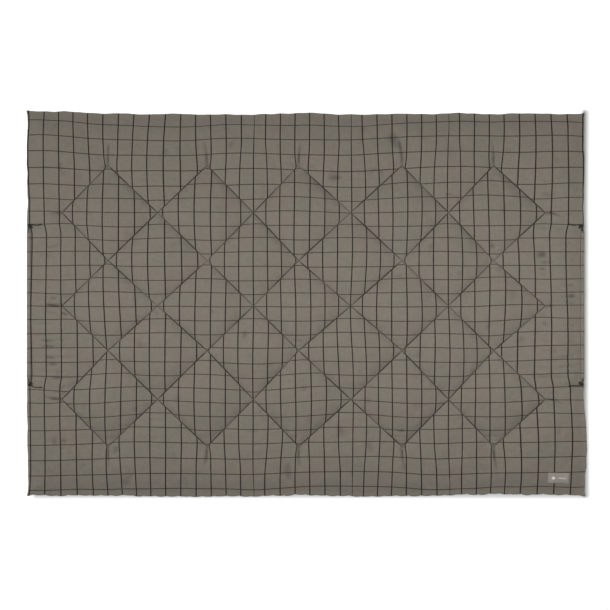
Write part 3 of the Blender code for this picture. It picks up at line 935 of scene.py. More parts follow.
@dataclass(frozen=True)
class ClothCut:
    """How much cloth lies over each place: the cloth's own coordinates, from its top left corner."""

    lattice: Lattice
    spare_along: float = 0.056
    spare_across: float = 0.126
    tight_from: float = 430.0 * MM
    tight_to: float = -507.0 * MM
    pleat: float = 22.0 * MM
    pleat_columns: tuple = (4, 6, 8)
    wander: float = 2.6 * MM
    swallowed: float = 0.036
    even: float = 0.35
    # How far the woven lines lie to the right of true, in mm, at the top and the bottom.
    lean_x: tuple = (-0.95, -0.77, -0.56, -0.31, -0.06, 0.16, 0.34, 0.52, 0.73, 0.95)
    lean_top: tuple = (3, -2, -2, 10, 5, 2, -2, -11, -14, 0)
    lean_bottom: tuple = (5, 13, 6, 5, 8, 9, -7, -2, -12, 12)
    # How far they sag, in mm: one row for each place along X, from the top to the bottom.
    sag_x: tuple = (-0.97, -0.56, -0.18, 0.14, 0.52, 0.93)
    sag_y: tuple = (-0.63, -0.34, 0.0, 0.30, 0.40, 0.60)
    sag: tuple = (
        (0, 3, 0, 7, 9, 6),
        (-12, -10, 3, 11, 21, 26),
        (-7, 0, 4, 8, 10, 17),
        (-19, -11, 3, 13, 19, 24),
        (-8, -1, 3, 7, 8, 5),
        (-14, -14, -5, 8, 11, 7),
    )

    def along(self, x: Array, y: Array, sharp: bool = True) -> Array:
        """The cloth's coordinate along the blanket.

        Args:
            x: Places along X.
            y: Places along Y.
            sharp: Whether the pleats at the long edges are narrow.

        Returns:
            Metres of cloth from the left edge.
        """
        lattice = self.lattice
        start, stop = lattice.xs()[1], lattice.xs()[-2]
        inside = np.clip(x, start, stop) - start
        gathered = self.pleat * len(self.pleat_columns)
        rate = self.spare_along - gathered / (stop - start)
        cloth = x + lattice.half_length + inside * rate
        top, bottom = lattice.ys()[1], lattice.ys()[-2]
        outside = np.maximum(y - top, bottom - y)
        narrow = smooth(outside, -0.10, 0.16) if sharp else np.zeros_like(y)
        reach = 170 * MM + (14 * MM - 170 * MM) * narrow
        for i in self.pleat_columns:
            middle = float(lattice.x(np.array(i, float))) + 6 * MM * narrow
            cloth += self.pleat * smooth((x - middle) / reach, -1.0, 1.0)
        return cloth

    def across(self, y: Array) -> Array:
        """The cloth's coordinate across the blanket, in metres from the top edge."""
        soft = 60 * MM
        steps = np.linspace(-self.lattice.half_width, self.lattice.half_width, 2000)
        rate = smooth(steps, self.tight_to - soft, self.tight_to + soft)
        rate *= 1 - smooth(steps, self.tight_from - soft, self.tight_from + soft)
        spare = np.concatenate([[0], np.cumsum((rate[1:] + rate[:-1]) / 2 * np.diff(steps))])
        total = spare[-1] - np.interp(y, steps, spare)
        return self.lattice.half_width - y + total * self.spare_across

    def slip(self, i: Array, j: Array) -> tuple[Array, Array]:
        """How far the cloth has slid out of true, as each seam swallows a little of it.

        Args:
            i: Column counts.
            j: Row counts.

        Returns:
            The slip along X and Y: it grows from the middle of each diamond, jumps at the seams
            and dies away in the border.
        """
        lattice = self.lattice
        held_i, held_j = np.clip(i, 0, lattice.columns), np.clip(j, 0, lattice.rows)
        puff = lattice.puff(held_i, held_j)
        beyond = np.hypot(lattice.x(i) - lattice.x(held_i), lattice.y(j) - lattice.y(held_j))
        away = lattice.seam_distance(held_i, held_j)
        share = np.clip(away / (4 * MM + 0.6 * beyond), 0, 1) * np.exp(-beyond / (60 * MM))
        across = (lattice.x(held_i) - lattice.x(puff.i)) * self.swallowed * share
        down = (lattice.y(held_j) - lattice.y(puff.j)) * self.swallowed * share
        return across, down

    def pattern(self, i: Array, j: Array, x: Array, y: Array) -> Array:
        """Where the woven pattern lies: even cloth, taken up beside the seams, a little off true.

        Args:
            i: Column counts.
            j: Row counts.
            x: Places along X.
            y: Places along Y.

        Returns:
            The cloth's two coordinates, one row for each place.
        """
        u = self.along(x, y)
        v = self.across(y)
        puff = self.lattice.puff(i, j)
        u -= (x - self.lattice.x(puff.i)) * self.spare_along * self.even * puff.dome
        v += (y - self.lattice.y(puff.j)) * self.spare_across * self.even * puff.dome
        share = smooth(y, -0.55, 0.50)
        lean = np.interp(x, self.lean_x, self.lean_top) * share
        u -= (lean + np.interp(x, self.lean_x, self.lean_bottom) * (1 - share)) * MM
        columns = np.array([np.interp(y, self.sag_y, column) for column in self.sag])
        place = np.interp(x, self.sag_x, np.arange(len(self.sag_x)))
        low = np.minimum(place.astype(int), len(self.sag_x) - 2)
        part = place - low
        part = part * part * (3 - 2 * part)
        every = np.arange(len(x))
        v -= (columns[low, every] * (1 - part) + columns[low + 1, every] * part) * MM
        slip_u, slip_v = self.slip(i, j)
        u -= slip_u
        v += slip_v
        u += random_waves(x, y, 11, 0.33, 0.50) * self.wander
        v += random_waves(x, y, 12, 0.42, 0.40) * self.wander
        edge = self.lattice.half_length - np.abs(x)
        beside = smooth(-np.abs(y + 4 * MM), -300 * MM, -250 * MM) * (1 - smooth(edge, 0.0, 0.35))
        u -= np.sign(-x) * 8.5 * MM * beside
        return np.stack([u, v], axis=1)


# ---------------------------------------------------------------- quilted body


class Side(Enum):
    """The short sides, with the way in which each one faces."""

    RIGHT = 1
    LEFT = -1


class End(Enum):
    """The ends of a short side, with the way in which each one faces."""

    TOP = 1
    BOTTOM = -1


@dataclass
class Net:
    """A net of small diamonds in which every seam runs along edges."""

    lattice: Lattice
    steps: int
    reach: float
    i: Array = field(init=False)
    j: Array = field(init=False)
    x: Array = field(init=False)
    y: Array = field(init=False)
    faces: list = field(init=False)
    rim: list = field(init=False)

    def spread(self, cells: int, before: float, after: float, cell: float) -> tuple[Array, int]:
        """Counts along one direction, with border steps of about the same size.

        Args:
            cells: Half diamonds in this direction.
            before: Width of the border before them.
            after: Width of the border after them.
            cell: Width of one half diamond.

        Returns:
            The counts, and how many steps the first border has.
        """
        step = cell / self.steps
        first = round(before / step)
        last = round(after / step)
        counts = [
            np.linspace(-1, 0, first + 1)[:-1],
            np.linspace(0, cells, cells * self.steps + 1),
            np.linspace(cells, cells + 1, last + 1)[1:],
        ]
        return np.concatenate(counts), first

    def __post_init__(self) -> None:
        """Makes the net."""
        lattice = self.lattice
        across, first_a = self.spread(lattice.columns, lattice.left, lattice.right, 173.5 * MM)
        down, first_b = self.spread(lattice.rows, lattice.top, lattice.bottom, 168.1 * MM)
        last_a, last_b = len(across) - 1, len(down) - 1
        parity = (first_a + first_b) % 2
        number = {}
        i_found, j_found = [], []
        for a in range(last_a + 1):
            for b in range(last_b + 1):
                if (a + b) % 2 == parity or a in (0, last_a) or b in (0, last_b):
                    number[a, b] = len(i_found)
                    i_found.append(across[a])
                    j_found.append(down[b])
        self.i, self.j = np.array(i_found), np.array(j_found)
        shrink = 1 - self.reach / lattice.half_length, 1 - self.reach / lattice.half_width
        self.x, self.y = lattice.x(self.i), lattice.y(self.j)
        beside = np.maximum(np.abs(self.x) / lattice.half_length - 0.9, 0) * 10
        beyond = np.maximum(np.abs(self.y) / lattice.half_width - 0.9, 0) * 10
        self.x = self.x * (1 - (1 - shrink[0]) * beside)
        self.y = self.y * (1 - (1 - shrink[1]) * beyond)
        self.faces = []
        for a in range(last_a + 1):
            for b in range(last_b + 1):
                if (a + b) % 2 == parity:
                    continue
                ring = []
                for spot in ((a + 1, b), (a, b - 1), (a - 1, b), (a, b + 1)):
                    inside = 0 <= spot[0] <= last_a and 0 <= spot[1] <= last_b
                    corner = number[spot] if inside else number[a, b]
                    if corner not in ring:
                        ring.append(corner)
                self.faces.append(ring)
        rim = [(a, 0) for a in range(last_a)] + [(last_a, b) for b in range(last_b)]
        rim += [(a, last_b) for a in range(last_a, 0, -1)] + [(0, b) for b in range(last_b, 0, -1)]
        self.rim = [number[spot] for spot in rim]


@dataclass
class QuiltedBody:
    """The padded body: checked face, turned edge, lining, and the seams through both."""

    lattice: Lattice
    cut: ClothCut
    palette: Palette
    steps: int = 28
    seam_top: float = 5.2 * MM
    seam_bottom: float = 2.2 * MM
    edge_top: float = 4.4 * MM
    puff: float = 31.0 * MM
    border: float = 19.0 * MM
    edge_flat: float = 14.0 * MM
    edge_round: float = 3.0 * MM
    rest_share: float = 0.55
    pressure: float = 3.0
    frames: int = 22
    cap: float = 9.0 * MM
    plumpness: float = 0.62
    fold_depth: float = 8.5 * MM
    fold_width: float = 3.6 * MM
    fold_reach: float = 40.0 * MM
    fold_end: float = 6.0 * MM
    # Painted shade: hollows between these depths go from no darkening to full darkening of the cloth's
    # colour.
    shaded_from: float = 1.6 * MM
    shaded_to: float = 6.0 * MM
    # How far each edge strays outwards: the axis that it faces, its side, places and mm.
    STRAY = {
        (0, -1): ((-0.6, -0.5, -0.3, 0.0), (-3, -2, 0, 0)),
        (0, 1): ((-0.66, -0.58, -0.47, -0.34, 0.3, 0.6), (3, 9, 10, 0, 0, -1)),
        (1, 1): ((-0.97, -0.86, -0.7, -0.2, 0.02, 0.2, 0.38, 0.9), (2, 1, -7, -9, -4, -11, -6, -7)),
        (1, -1): ((-0.9, -0.6, -0.4, 0.0, 0.3, 0.65, 0.9), (-4, -2, 2, -4, 1, -8, -3)),
    }

    def relief(self, i: Array, j: Array, x: Array, y: Array) -> Array:
        """Height of the face before it is puffed.

        Args:
            i: Column counts.
            j: Row counts.
            x: Places along X.
            y: Places along Y.

        Returns:
            Heights.
        """
        lattice = self.lattice
        puff = lattice.puff(i, j)
        inner = self.seam_top + (self.puff - self.seam_top) * puff.dome**self.plumpness
        from_edge = np.minimum(lattice.half_length - np.abs(x), lattice.half_width - np.abs(y))
        edge = 1 - (1 - np.clip((from_edge - self.edge_flat) / 0.085, 0, 1)) ** 2
        seam = 1 - (1 - np.clip(self.outline_distance(x, y) / 0.11, 0, 1)) ** 2
        outer = self.edge_top + (self.seam_top - self.edge_top) * edge
        outer += (self.border - self.seam_top) * edge * seam
        return np.where(puff.whole, inner, outer)

    def outline_distance(self, x: Array, y: Array) -> Array:
        """How far a place lies from the zigzag that the outermost seams make."""
        lattice = self.lattice
        top = [(i, 1 - i % 2) for i in range(lattice.columns + 1)]
        right = [(lattice.columns - (j + 1) % 2, j) for j in range(2, lattice.rows)]
        bottom = [(i, lattice.rows - 1 + i % 2) for i in range(lattice.columns, -1, -1)]
        left = [((j + 1) % 2, j) for j in range(lattice.rows - 2, 1, -1)]
        corners = top + right + bottom + left
        xs, ys = lattice.xs()[1:-1], lattice.ys()[1:-1]
        nearest = np.full(x.shape, np.inf)
        for (i0, j0), (i1, j1) in zip(corners, corners[1:] + corners[:1]):
            dx, dy = xs[i1] - xs[i0], ys[j1] - ys[j0]
            length = dx * dx + dy * dy
            if length == 0:
                continue
            share = np.clip(((x - xs[i0]) * dx + (y - ys[j0]) * dy) / length, 0, 1)
            nearest = np.minimum(nearest, np.hypot(x - xs[i0] - share * dx, y - ys[j0] - share * dy))
        return nearest

    def simulate(self, piece: bpy.types.Object, held: Array) -> Array:
        """Puffs the face with the Cloth modifier.

        Args:
            piece: The face, laid out.
            held: True for each point that the seams or the edge hold.

        Returns:
            The points after the simulation.
        """
        start = places_of(piece.data)
        group = piece.vertex_groups.new(name="held")
        group.add([int(n) for n in np.nonzero(held)[0]], 1.0, "REPLACE")
        piece.shape_key_add(name="laid")
        flat = piece.shape_key_add(name="flat")
        cloth_x = self.cut.along(start[:, 0], start[:, 1], False) - self.lattice.half_length
        cloth_y = self.lattice.half_width - self.cut.across(start[:, 1])
        rest = start * (1 - self.rest_share)
        rest[:, 0] += self.rest_share * cloth_x
        rest[:, 1] += self.rest_share * cloth_y
        rest[:, 2] = 0
        flat.data.foreach_set("co", rest.astype(np.float32).ravel())
        flat.value = 0.0
        cloth = piece.modifiers.new("cloth", "CLOTH")
        settings = cloth.settings
        settings.vertex_group_mass = group.name
        settings.rest_shape_key = flat
        settings.quality = 6
        settings.mass = 0.2
        settings.tension_stiffness = 20
        settings.compression_stiffness = 20
        settings.shear_stiffness = 8
        settings.bending_stiffness = 0.6
        settings.air_damping = 2.0
        settings.use_pressure = True
        settings.uniform_pressure_force = self.pressure
        settings.effector_weights.gravity = 0.0
        scene = bpy.context.scene
        cloth.point_cache.frame_start = 1
        cloth.point_cache.frame_end = self.frames
        for number in range(1, self.frames + 1):
            scene.frame_set(number)
        graph = bpy.context.evaluated_depsgraph_get()
        settled = places_of(piece.evaluated_get(graph).data)
        piece.modifiers.remove(cloth)
        piece.shape_key_clear()
        piece.vertex_groups.clear()
        scene.frame_set(1)
        move = settled - start
        size = np.linalg.norm(move, axis=1, keepdims=True)
        return start + move * np.minimum(1.0, self.cap / np.maximum(size, 1e-9))

    def creases(self) -> list[tuple[list[tuple[float, float]], float]]:
        """The short curved folds that run from the quilting's outer corners into the border.

        Returns:
            For each fold its course, as places, and its depth.
        """
        lattice = self.lattice
        found = []
        # For each corner: column, row, the way out, and how far the fold bends to the right of it.
        outer = [
            (1, 0, (0, 1), 5, 92), (3, 0, (0, 1), -9, 84), (5, 0, (0, 1), 12, 96),
            (7, 0, (0, 1), -13, 90), (9, 0, (0, 1), -7, 88), (1, 6, (0, -1), -8, 78),
            (3, 6, (0, -1), 6, 60), (5, 6, (0, -1), -6, 74), (7, 6, (0, -1), -16, 92),
            (9, 6, (0, -1), -20, 100), (0, 1, (-1, 0), -10, 62), (0, 3, (-1, 0), 8, 55),
            (0, 5, (-1, 0), 14, 66), (10, 1, (1, 0), 18, 60), (10, 3, (1, 0), -6, 52),
            (10, 5, (1, 0), 22, 66),
        ]
        for i, j, (out_x, out_y), bend, length in outer:
            x, y = float(lattice.x(np.array(i, float))), float(lattice.y(np.array(j, float)))
            course = []
            for share in np.linspace(0, 1, 12):
                ahead = (6 + length * share) * MM
                aside = bend * share * share * MM
                course.append((x + out_x * ahead + out_y * aside, y + out_y * ahead - out_x * aside))
            found.append((course, self.fold_depth))
        return found

    def detail(self, places: Array, i: Array, j: Array, x: Array, y: Array) -> Array:
        """Adds what is finer than the simulation: folds, puckers beside the seams and soft dents.

        Args:
            places: The points of the face.
            i: Their column counts.
            j: Their row counts.
            x: Where they were laid out along X.
            y: Where they were laid out along Y.

        Returns:
            The new points.
        """
        lattice = self.lattice
        found = places.copy()
        zone = lattice.quilted(i, j)
        away = np.where(zone, lattice.seam_distance(i, j), 1.0)
        puff = lattice.puff(i, j)
        from_edge = np.minimum(lattice.half_length - np.abs(x), lattice.half_width - np.abs(y))
        inner = smooth(from_edge, 12 * MM, 50 * MM)
        # Puckers run square to a seam, so each family waves along its own seams.
        cell_x, cell_y = 173.5 * MM, 168.1 * MM
        for sign, seed in ((1, 21), (-1, 22)):
            turns = (i + sign * j - 1) / 2
            near = np.abs(turns - np.round(turns)) * lattice.seam_spacing
            run = ((i - sign * j) / 2) * math.hypot(cell_x, cell_y)
            line = np.round(turns) * 0.9
            wave = random_waves(run + line, near * 0.25, seed, 0.034)
            fall = np.exp(-near / (17 * MM)) * smooth(near, 0.0, 5 * MM)
            found[:, 2] += np.where(zone, 1.7 * MM * wave * fall, 0.0)
        # Broad dents over the puffs and the border.
        found[:, 2] += 1.5 * MM * random_waves(x, y, 31, 0.14) * smooth(away, 0, 40 * MM) * inner
        found[:, 2] += 0.7 * MM * random_waves(x, y, 32, 0.05) * smooth(away, 0, 25 * MM) * inner
        # Drag lines along X by the gathered sides and in the valleys between puffs.
        side = smooth(np.abs(x), 0.80, 0.93) * smooth(-np.abs(y), -0.42, -0.20) * inner
        left_right = np.exp(-((np.abs(i - np.round(i)) * 0.1735 / 0.05) ** 2)) * (1 - puff.dome) ** 2
        drag = random_waves(x, y, 33, 0.15, 0.026)
        found[:, 2] += drag * (1.8 * MM * side + 1.0 * MM * left_right * smooth(away, 0, 12 * MM) * zone)
        found[:, 2] += self.folds(x, y)
        found[:, 2] = np.maximum(found[:, 2], self.seam_bottom + 1.5 * MM)
        return found

    def folds(self, x: Array, y: Array) -> Array:
        """Height that the curved folds add at each place."""
        total = np.zeros_like(x)
        for course, depth in self.creases():
            near = np.full(x.shape, np.inf)
            share_at = np.zeros_like(x)
            signed = np.zeros_like(x)
            for n, ((x0, y0), (x1, y1)) in enumerate(zip(course, course[1:])):
                dx, dy = x1 - x0, y1 - y0
                length = math.hypot(dx, dy)
                share = np.clip(((x - x0) * dx + (y - y0) * dy) / length**2, 0, 1)
                off_x, off_y = x - x0 - share * dx, y - y0 - share * dy
                gap = np.hypot(off_x, off_y)
                closer = gap < near
                near = np.where(closer, gap, near)
                share_at = np.where(closer, (n + share) / (len(course) - 1), share_at)
                signed = np.where(closer, (off_x * dy - off_y * dx) / length, signed)
            fade = (1 - share_at) ** 0.6
            groove = -np.exp(-((signed / self.fold_width) ** 2))
            ridge = 0.5 * np.exp(-(((signed - 10 * MM) / (6 * MM)) ** 2))
            beyond = np.exp(-(near**2 - signed**2) / self.fold_end**2)
            height = depth * fade * beyond * (groove + ridge)
            total += np.where(near < self.fold_reach, height, 0.0)
        return total

    def outline(self, places: Array) -> Array:
        """Lets the edges wander, dip and scallop, with the cloth near them following.

        Args:
            places: Points of the body.

        Returns:
            The new points.
        """
        lattice = self.lattice
        x, y = places[:, 0].copy(), places[:, 1].copy()
        found = places.copy()
        near_x = smooth(np.abs(x), lattice.half_length - 0.11, lattice.half_length) ** 1.5
        near_y = smooth(np.abs(y), lattice.half_width - 0.11, lattice.half_width) ** 1.5
        tip_x = smooth(np.abs(x), lattice.half_length - 0.016, lattice.half_length)
        tip_y = smooth(np.abs(y), lattice.half_width - 0.016, lattice.half_width)
        for axis, (here, along, near, tip) in enumerate(((x, y, near_x, tip_x), (y, x, near_y, tip_y))):
            for sign in (-1, 1):
                seed = 41 + 2 * axis + (sign > 0)
                at = sign * here > 0
                still = np.zeros_like(along)
                slow = random_waves(along, still, seed, 0.2) * 1.2 * MM
                quick = random_waves(along, still, seed + 10, 0.075) * 1.0 * MM
                nick = np.maximum(random_waves(along, still, seed + 20, 0.19) - 1.5, 0) * 5 * MM
                where, offsets = self.STRAY[axis, sign]
                slow += np.interp(along, where, offsets) * MM
                shift = slow * near + (quick - nick) * tip
                if axis == 0:
                    shift *= 0.2 + 0.8 * smooth(np.abs(along), 0.27, 0.34)
                if axis == 1 and sign < 0:
                    arch = np.abs(np.sin(along * math.pi / 0.041 + 0.6 * np.sin(along * 9)))
                    shift += (arch**0.6 - 0.7) * 3.2 * MM * tip
                found[:, axis] += np.where(at, sign * shift, 0.0)
        corner = tip_x * tip_y
        found[:, 0] += np.sign(x) * 3.5 * MM * corner
        found[:, 1] += np.sign(y) * 3.0 * MM * corner
        return found

    def make_face(self) -> bpy.types.Object:
        """The checked face with its turned edge, as one closed piece."""
        net = Net(self.lattice, self.steps, self.edge_round)
        height = self.relief(net.i, net.j, net.x, net.y)
        places = np.stack([net.x, net.y, height], axis=1)
        piece = new_piece("quilted_face", places, net.faces)
        inside = self.lattice.quilted(net.i, net.j)
        seam = inside & (self.lattice.seam_distance(net.i, net.j) < 0.5 * MM)
        edge_x = self.lattice.half_length - np.abs(net.x)
        edge_y = self.lattice.half_width - np.abs(net.y)
        held = seam | (np.minimum(edge_x, edge_y) < self.edge_flat + 4 * MM)
        places = self.simulate(piece, held)
        put(piece.data, places)
        carry(piece.data, "quilting", np.stack([net.i, net.j, inside.astype(float)], axis=1))
        carry(piece.data, "layout", np.stack([net.x, net.y], axis=1))
        ends = np.empty(len(piece.data.edges) * 2, np.int32)
        piece.data.edges.foreach_get("vertices", ends)
        sewn = seam[ends.reshape(-1, 2)].all(axis=1).astype(np.float32)
        piece.data.attributes.new("crease_edge", "FLOAT", "EDGE").data.foreach_set("value", sewn)
        subdivided(piece)
        counts, laid = carried(piece.data, "quilting"), carried(piece.data, "layout")
        i, j, x, y = counts[:, 0], counts[:, 1], laid[:, 0], laid[:, 1]
        level = places_of(piece.data)[:, 2]
        places = self.detail(places_of(piece.data), i, j, x, y)
        put(piece.data, places)
        # Painted shade: how far the finer detail sank each point, kept as the fabric attribute's third
        # number to darken the cloth's colour in folds, puckers and dents.
        deep = smooth(level - places[:, 2], self.shaded_from, self.shaded_to)
        fabric = self.cut.pattern(i, j, x, y)
        carry(piece.data, "fabric", np.column_stack([fabric[:, 0], fabric[:, 1], deep]))
        self.turn_edge(piece)
        put(piece.data, self.outline(places_of(piece.data)))
        return piece

    def turn_edge(self, piece: bpy.types.Object) -> None:
        """Rolls the face's rim under and closes the piece below, where the lining hides it."""
        shape = bmesh.new()
        shape.from_mesh(piece.data)
        rim = [edge for edge in shape.edges if edge.is_boundary]
        reach = self.edge_round
        # How far each new ring goes out, and its height.
        rings = [
            (0.75 * reach, self.edge_top * 0.86),
            (reach, self.edge_top * 0.55),
            (0.72 * reach, self.edge_top * 0.22),
            (-2.0 * reach, self.edge_top * 0.18),
        ]
        fabric = shape.verts.layers.float_vector["fabric"]
        before = 0.0
        for out, height in rings:
            made = bmesh.ops.extrude_edge_only(shape, edges=rim)["geom"]
            fresh = [item for item in made if isinstance(item, bmesh.types.BMVert)]
            rim = [item for item in made if isinstance(item, bmesh.types.BMEdge) and item.is_boundary]
            for vert in fresh:
                home = vert.co
                at_x = abs(home.x) > self.lattice.half_length - 2.5 * reach
                at_y = abs(home.y) > self.lattice.half_width - 2.5 * reach
                step = out - before
                home.x += step * math.copysign(at_x, home.x)
                home.y += step * math.copysign(at_y, home.y)
                home.z = height
                vert[fabric].x += abs(step) * math.copysign(at_x, home.x)
                vert[fabric].y -= abs(step) * math.copysign(at_y, home.y)
            before = out
        bmesh.ops.edgenet_fill(shape, edges=rim)
        bmesh.ops.recalc_face_normals(shape, faces=shape.faces)
        shape.to_mesh(piece.data)
        shape.free()
        piece.data.shade_smooth()

    def make_lining(self) -> bpy.types.Object:
        """The lining below, drawn up along the seams, as one closed piece."""
        net = Net(self.lattice, 14, 2.5 * MM)
        inside = self.lattice.quilted(net.i, net.j)
        away = np.where(inside, self.lattice.seam_distance(net.i, net.j), 1.0)
        edge_x = self.lattice.half_length - np.abs(net.x)
        edge_y = self.lattice.half_width - np.abs(net.y)
        drawn = self.seam_bottom * np.exp(-((away / (9 * MM)) ** 2))
        ripple = 0.12 * MM * (1 + random_waves(net.x, net.y, 51, 0.09))
        places = np.stack([net.x, net.y, np.maximum(drawn, np.maximum(ripple, 0.0))], axis=1)
        hem = np.minimum(edge_x, edge_y) < 4 * MM
        places[hem, 2] = 0.3 * MM
        piece = new_piece("lining", places, [ring[::-1] for ring in net.faces])
        shape = bmesh.new()
        shape.from_mesh(piece.data)
        rim = [edge for edge in shape.edges if edge.is_boundary]
        made = bmesh.ops.extrude_edge_only(shape, edges=rim)["geom"]
        for item in made:
            if isinstance(item, bmesh.types.BMVert):
                item.co.z = self.seam_bottom + 0.6 * MM
                item.co.x *= 1 - 6 * MM / self.lattice.half_length
                item.co.y *= 1 - 6 * MM / self.lattice.half_width
        inner = [item for item in made if isinstance(item, bmesh.types.BMEdge) and item.is_boundary]
        bmesh.ops.edgenet_fill(shape, edges=inner)
        bmesh.ops.recalc_face_normals(shape, faces=shape.faces)
        shape.to_mesh(piece.data)
        shape.free()
        piece.data.shade_smooth()
        put(piece.data, self.outline(places_of(piece.data)))
        return piece

    def make_stitching(
        self, name: str, line: list[tuple[int, int]], above: "Surface", below: "Surface"
    ) -> bpy.types.Object:
        """One seam's stitches, on the face and on the lining.

        Args:
            name: The seam's name.
            line: The crossings that it runs through.
            above: The face.
            below: The lining.

        Returns:
            The stitches, as one piece.
        """
        xs, ys = self.lattice.xs()[1:-1], self.lattice.ys()[1:-1]
        stitches = Stitches()
        for (i0, j0), (i1, j1) in zip(line, line[1:]):
            start, stop = Vector((xs[i0], ys[j0], 0)), Vector((xs[i1], ys[j1], 0))
            count = round((stop - start).length / (6.4 * MM))
            for k in range(count):
                middle = start.lerp(stop, (k + 0.5) / count)
                for place, way in ((above.top(middle), 1), (below.bottom(middle), -1)):
                    stitches.add(place, stop - start, Vector((0, 0, way)), 5.2 * MM, 1.1 * MM)
        return stitches.piece(name.replace("quilting", "stitching"))

    def build(self) -> bpy.types.Object:
        """Makes the body and dresses it.

        Returns:
            The face, on which the label and the cord tails lie.
        """
        face = self.make_face()
        self.palette.dress(face, Finish.CLOTH, "blanket", "face_cloth", "fill_batting")
        lining = self.make_lining()
        self.palette.dress(lining, Finish.LINING, "blanket", "back_cloth")
        above, below = Surface(face), Surface(lining)
        for name, line in self.lattice.lines():
            seam = self.make_stitching(name, line, above, below)
            self.palette.dress(seam, Finish.THREAD, "blanket", name)
        return face


# ---------------------------------------------------------------- cords and fittings


@dataclass(frozen=True)
class Hem:
    """Where the cords, tunnels and locks sit along the short sides."""

    half_length: float
    tunnel_width: float = 12.5 * MM
    tunnel_up: float = 261.0 * MM
    tunnel_down: float = 269.3 * MM
    edge_height: float = 4.5 * MM
    clearance: float = 0.3 * MM
    wall: float = 0.7 * MM
    cord: float = 3.0 * MM
    cord_offset: float = 2.2 * MM
    barrel: float = 11.0 * MM
    travel: float = 3.0 * MM
    turn: float = math.radians(35)

    def tunnel_middle(self) -> float:
        """How far a tunnel's middle is from the blanket's."""
        return self.half_length - self.tunnel_width / 2

    def tunnel_end(self, end: End) -> float:
        """Y of the tunnels' mouths at this end."""
        return self.tunnel_up if end is End.TOP else -self.tunnel_down

    def cord_height(self) -> float:
        """Height of the cord's middle in its tunnel."""
        return self.edge_height + 2 * self.clearance + self.wall + self.cord / 2

    def near_mouth(self, side: Side, end: End, way: tuple[float, float, float]) -> Vector:
        """A place near a tunnel's mouth: towards the middle, outwards along Y, and up."""
        inward, outward, up = way
        x = self.tunnel_middle() + self.cord_offset - inward
        y = self.tunnel_end(end) + end.value * outward
        return Vector((side.value * x, y, self.cord_height() + up))

    def run(self, side: Side, end: End) -> Vector:
        """The way in which the cord runs through a lock, away from its tunnel."""
        across, along = -side.value * math.sin(self.turn), end.value * math.cos(self.turn)
        return Vector((across, along, 0))

    def lock(self, side: Side, end: End) -> Vector:
        """Where the cord crosses the lock's axis."""
        rise = self.near_mouth(side, end, tuple(MM * value for value in CORD_RISE[-1]))
        middle = rise + self.run(side, end) * (self.travel + self.barrel / 2)
        middle.z = self.edge_height + self.clearance + self.barrel / 2
        return middle


# The cord's way from a tunnel's mouth up to its lock, in mm: inwards, outwards along Y, up.
CORD_RISE = ((0.0, 0.0, 0.0), (0.4, 3.0, 0.8), (1.5, 6.0, 2.2), (3.2, 8.9, 3.0))
# Each free tail from its lock, in mm: inwards, outwards along Y.
TAILS = {
    (Side.RIGHT, End.TOP): ((2.2, 2.0), (5.8, 2.9), (12, 2.2), (20, 0.8), (28, 0.9), (34, 2.4)),
    (Side.LEFT, End.TOP): ((2.2, 2.0), (5.8, 2.9), (12, 1.8), (20, 0.2), (28, 1.0), (34, 2.6)),
    (Side.RIGHT, End.BOTTOM): ((2.2, 2.0), (5.8, 2.9), (12, 2.4), (20, 1.8), (28, 2.0), (34, 3.2)),
    (Side.LEFT, End.BOTTOM): ((2.2, 2.6), (5.0, 5.2), (10, 8.2), (17, 9.6), (25, 9.4), (33, 9.0)),
}


